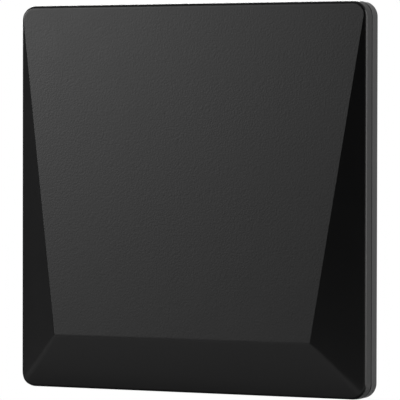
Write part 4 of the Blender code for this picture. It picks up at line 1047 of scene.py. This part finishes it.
# %% Wall plate
WALL_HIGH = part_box("wall_plate")[1]
WALL_THICKNESS = 0.0040
WALL_FACE = -WALL_THICKNESS
WALL_CORNER = 0.0080
LUG_INNER, LUG_OUTER = 0.0098, 0.0138
WALL_HOLE = 0.0026
HOLE_ASIDE, HOLE_UP = 0.017, 0.030
WALL_HOLES = [(x, 0, z) for x in (-HOLE_ASIDE, HOLE_ASIDE) for z in (-HOLE_UP, HOLE_UP)]
SINK_RADIUS = 0.0046
SINK_DEPTH = 0.0012
SINK_OVERCUT = 0.0008
SINK_ROWS = ((WALL_HOLE, OVERCUT), (WALL_HOLE, WALL_FACE + SINK_DEPTH))
SINK_ROWS += ((SINK_RADIUS, WALL_FACE - SINK_OVERCUT),)

plate = slab(rounded_rectangle((WALL_HIGH.z, WALL_HIGH.x), WALL_CORNER), "Y", WALL_FACE, 0.0)
wall = make_piece("wall_casting", [plate], "wall", "coated_black", ["wall_plate"])
lug = tab(SWIVEL_Y, WALL_FACE / 2, KNUCKLE)[:, ::-1]
carve(wall, "UNION", [slab(lug, "Z", LUG_INNER, LUG_OUTER), slab(lug, "Z", -LUG_OUTER, -LUG_INNER)])
carve(wall, "DIFFERENCE", [bore("Z", (0, SWIVEL_Y, 0), 2 * LUG_OUTER)])
carve(wall, "DIFFERENCE", [loft(turned(SINK_ROWS, "Y", place)) for place in WALL_HOLES])
soften(wall, EDGE)

# %% [markdown]
# ## Pivot bolts
#
# Two hex bolts carry the pivots. The swivel is held by a washer and a nut, and the tilt by a washer and
# a knob. Head, shank, thread and tip are one stack of rows.

# %% Pivot bolts
BOLT = 0.0030
BOLT_FLATS = 0.0100
BOLT_HEAD = 0.0040
BOLT_PITCH = 0.0010
BOLT_GROOVE = 0.0005
THREAD_LENGTH = 0.0140


def make_bolt(name, axis, body, top, tail):
    """A hex bolt from the end of its head to its tip."""
    inwards = np.sign(tail - top)
    seat = top + inwards * BOLT_HEAD
    rows = hex_end(BOLT_FLATS, top, inwards) + [(hexagon(BOLT_FLATS), seat), (BOLT, seat)]
    rows += thread(BOLT, BOLT_GROOVE, BOLT_PITCH, tail - inwards * THREAD_LENGTH, tail - inwards * MOUTH)
    rows += [(BOLT - MOUTH, tail)]
    middle = middle_of(name) * (np.array(list("XYZ")) != axis)
    skin = loft(turned(rows, axis, middle))
    return make_piece(name + "_turned", [skin], body, "zinc_steel", [name], crease=30)


make_bolt("tilt_bolt", "X", "panel", *size_along("tilt_bolt", "X"))
make_bolt("swivel_bolt", "Z", "wall", *size_along("swivel_bolt", "Z")[::-1])
washer("tilt_washer", "panel", "zinc_steel", "X", PIVOT_HOLE, reach=0.0002)
washer("swivel_washer", "wall", "zinc_steel", "Z", PIVOT_HOLE, reach=0.0002)
nut("swivel_nut", "wall", "zinc_steel", PIVOT_HOLE)

# %% [markdown]
# ## Clamping knob
#
# A moulded knob with six lobes. Its radius is a wave round the axis. Both ends are rounded, the cap is
# dished, and the hole for the bolt is the first stretch of the same stack of rows.

# %% Clamping knob
KNOB_SEAT, KNOB_END = size_along("tilt_knob", "X")
KNOB_RADIUS = 0.0105
LOBE_DEPTH = 0.0011
LOBES = 6
KNOB_FILLET = 0.0012
KNOB_CAP = 0.0030
DISH_DEPTH = 0.0006
DISH_EDGE = 0.85
DISH_FLANK = 0.2
CAP_SHARES = np.linspace(0.95, 0.05, 19)


def lobed(inset):
    """Radius of the knob at every angle: a cosine wave with six crests, drawn in by an inset."""
    return KNOB_RADIUS - inset - LOBE_DEPTH * (1 - np.cos(LOBES * ROUND)) / 2


def knob_rows():
    """Rows from the end of the bolt's hole, over the seat and the lobes, to the middle of the cap."""
    rows = [(PIVOT_HOLE, KNOB_END - KNOB_CAP), (PIVOT_HOLE, KNOB_SEAT + MOUTH)]
    rows.append((PIVOT_HOLE + MOUTH, KNOB_SEAT))
    for turn in QUARTER:
        inset = KNOB_FILLET * (1 - np.sin(turn))
        rows.append((lobed(inset), KNOB_SEAT + KNOB_FILLET * (1 - np.cos(turn))))
    for turn in QUARTER:
        inset = KNOB_FILLET * (1 - np.cos(turn))
        rows.append((lobed(inset), KNOB_END - KNOB_FILLET * (1 - np.sin(turn))))
    dish = DISH_DEPTH * np.clip((DISH_EDGE - CAP_SHARES) / DISH_FLANK, 0, 1)
    return rows + list(zip(CAP_SHARES[:, None] * lobed(KNOB_FILLET), KNOB_END - dish))


knob = loft(turned(knob_rows(), "X", middle_of("tilt_knob") * (0, 1, 1)))
make_piece("clamp_knob", [knob], "knob", "knob_black", ["tilt_knob"], crease=40)
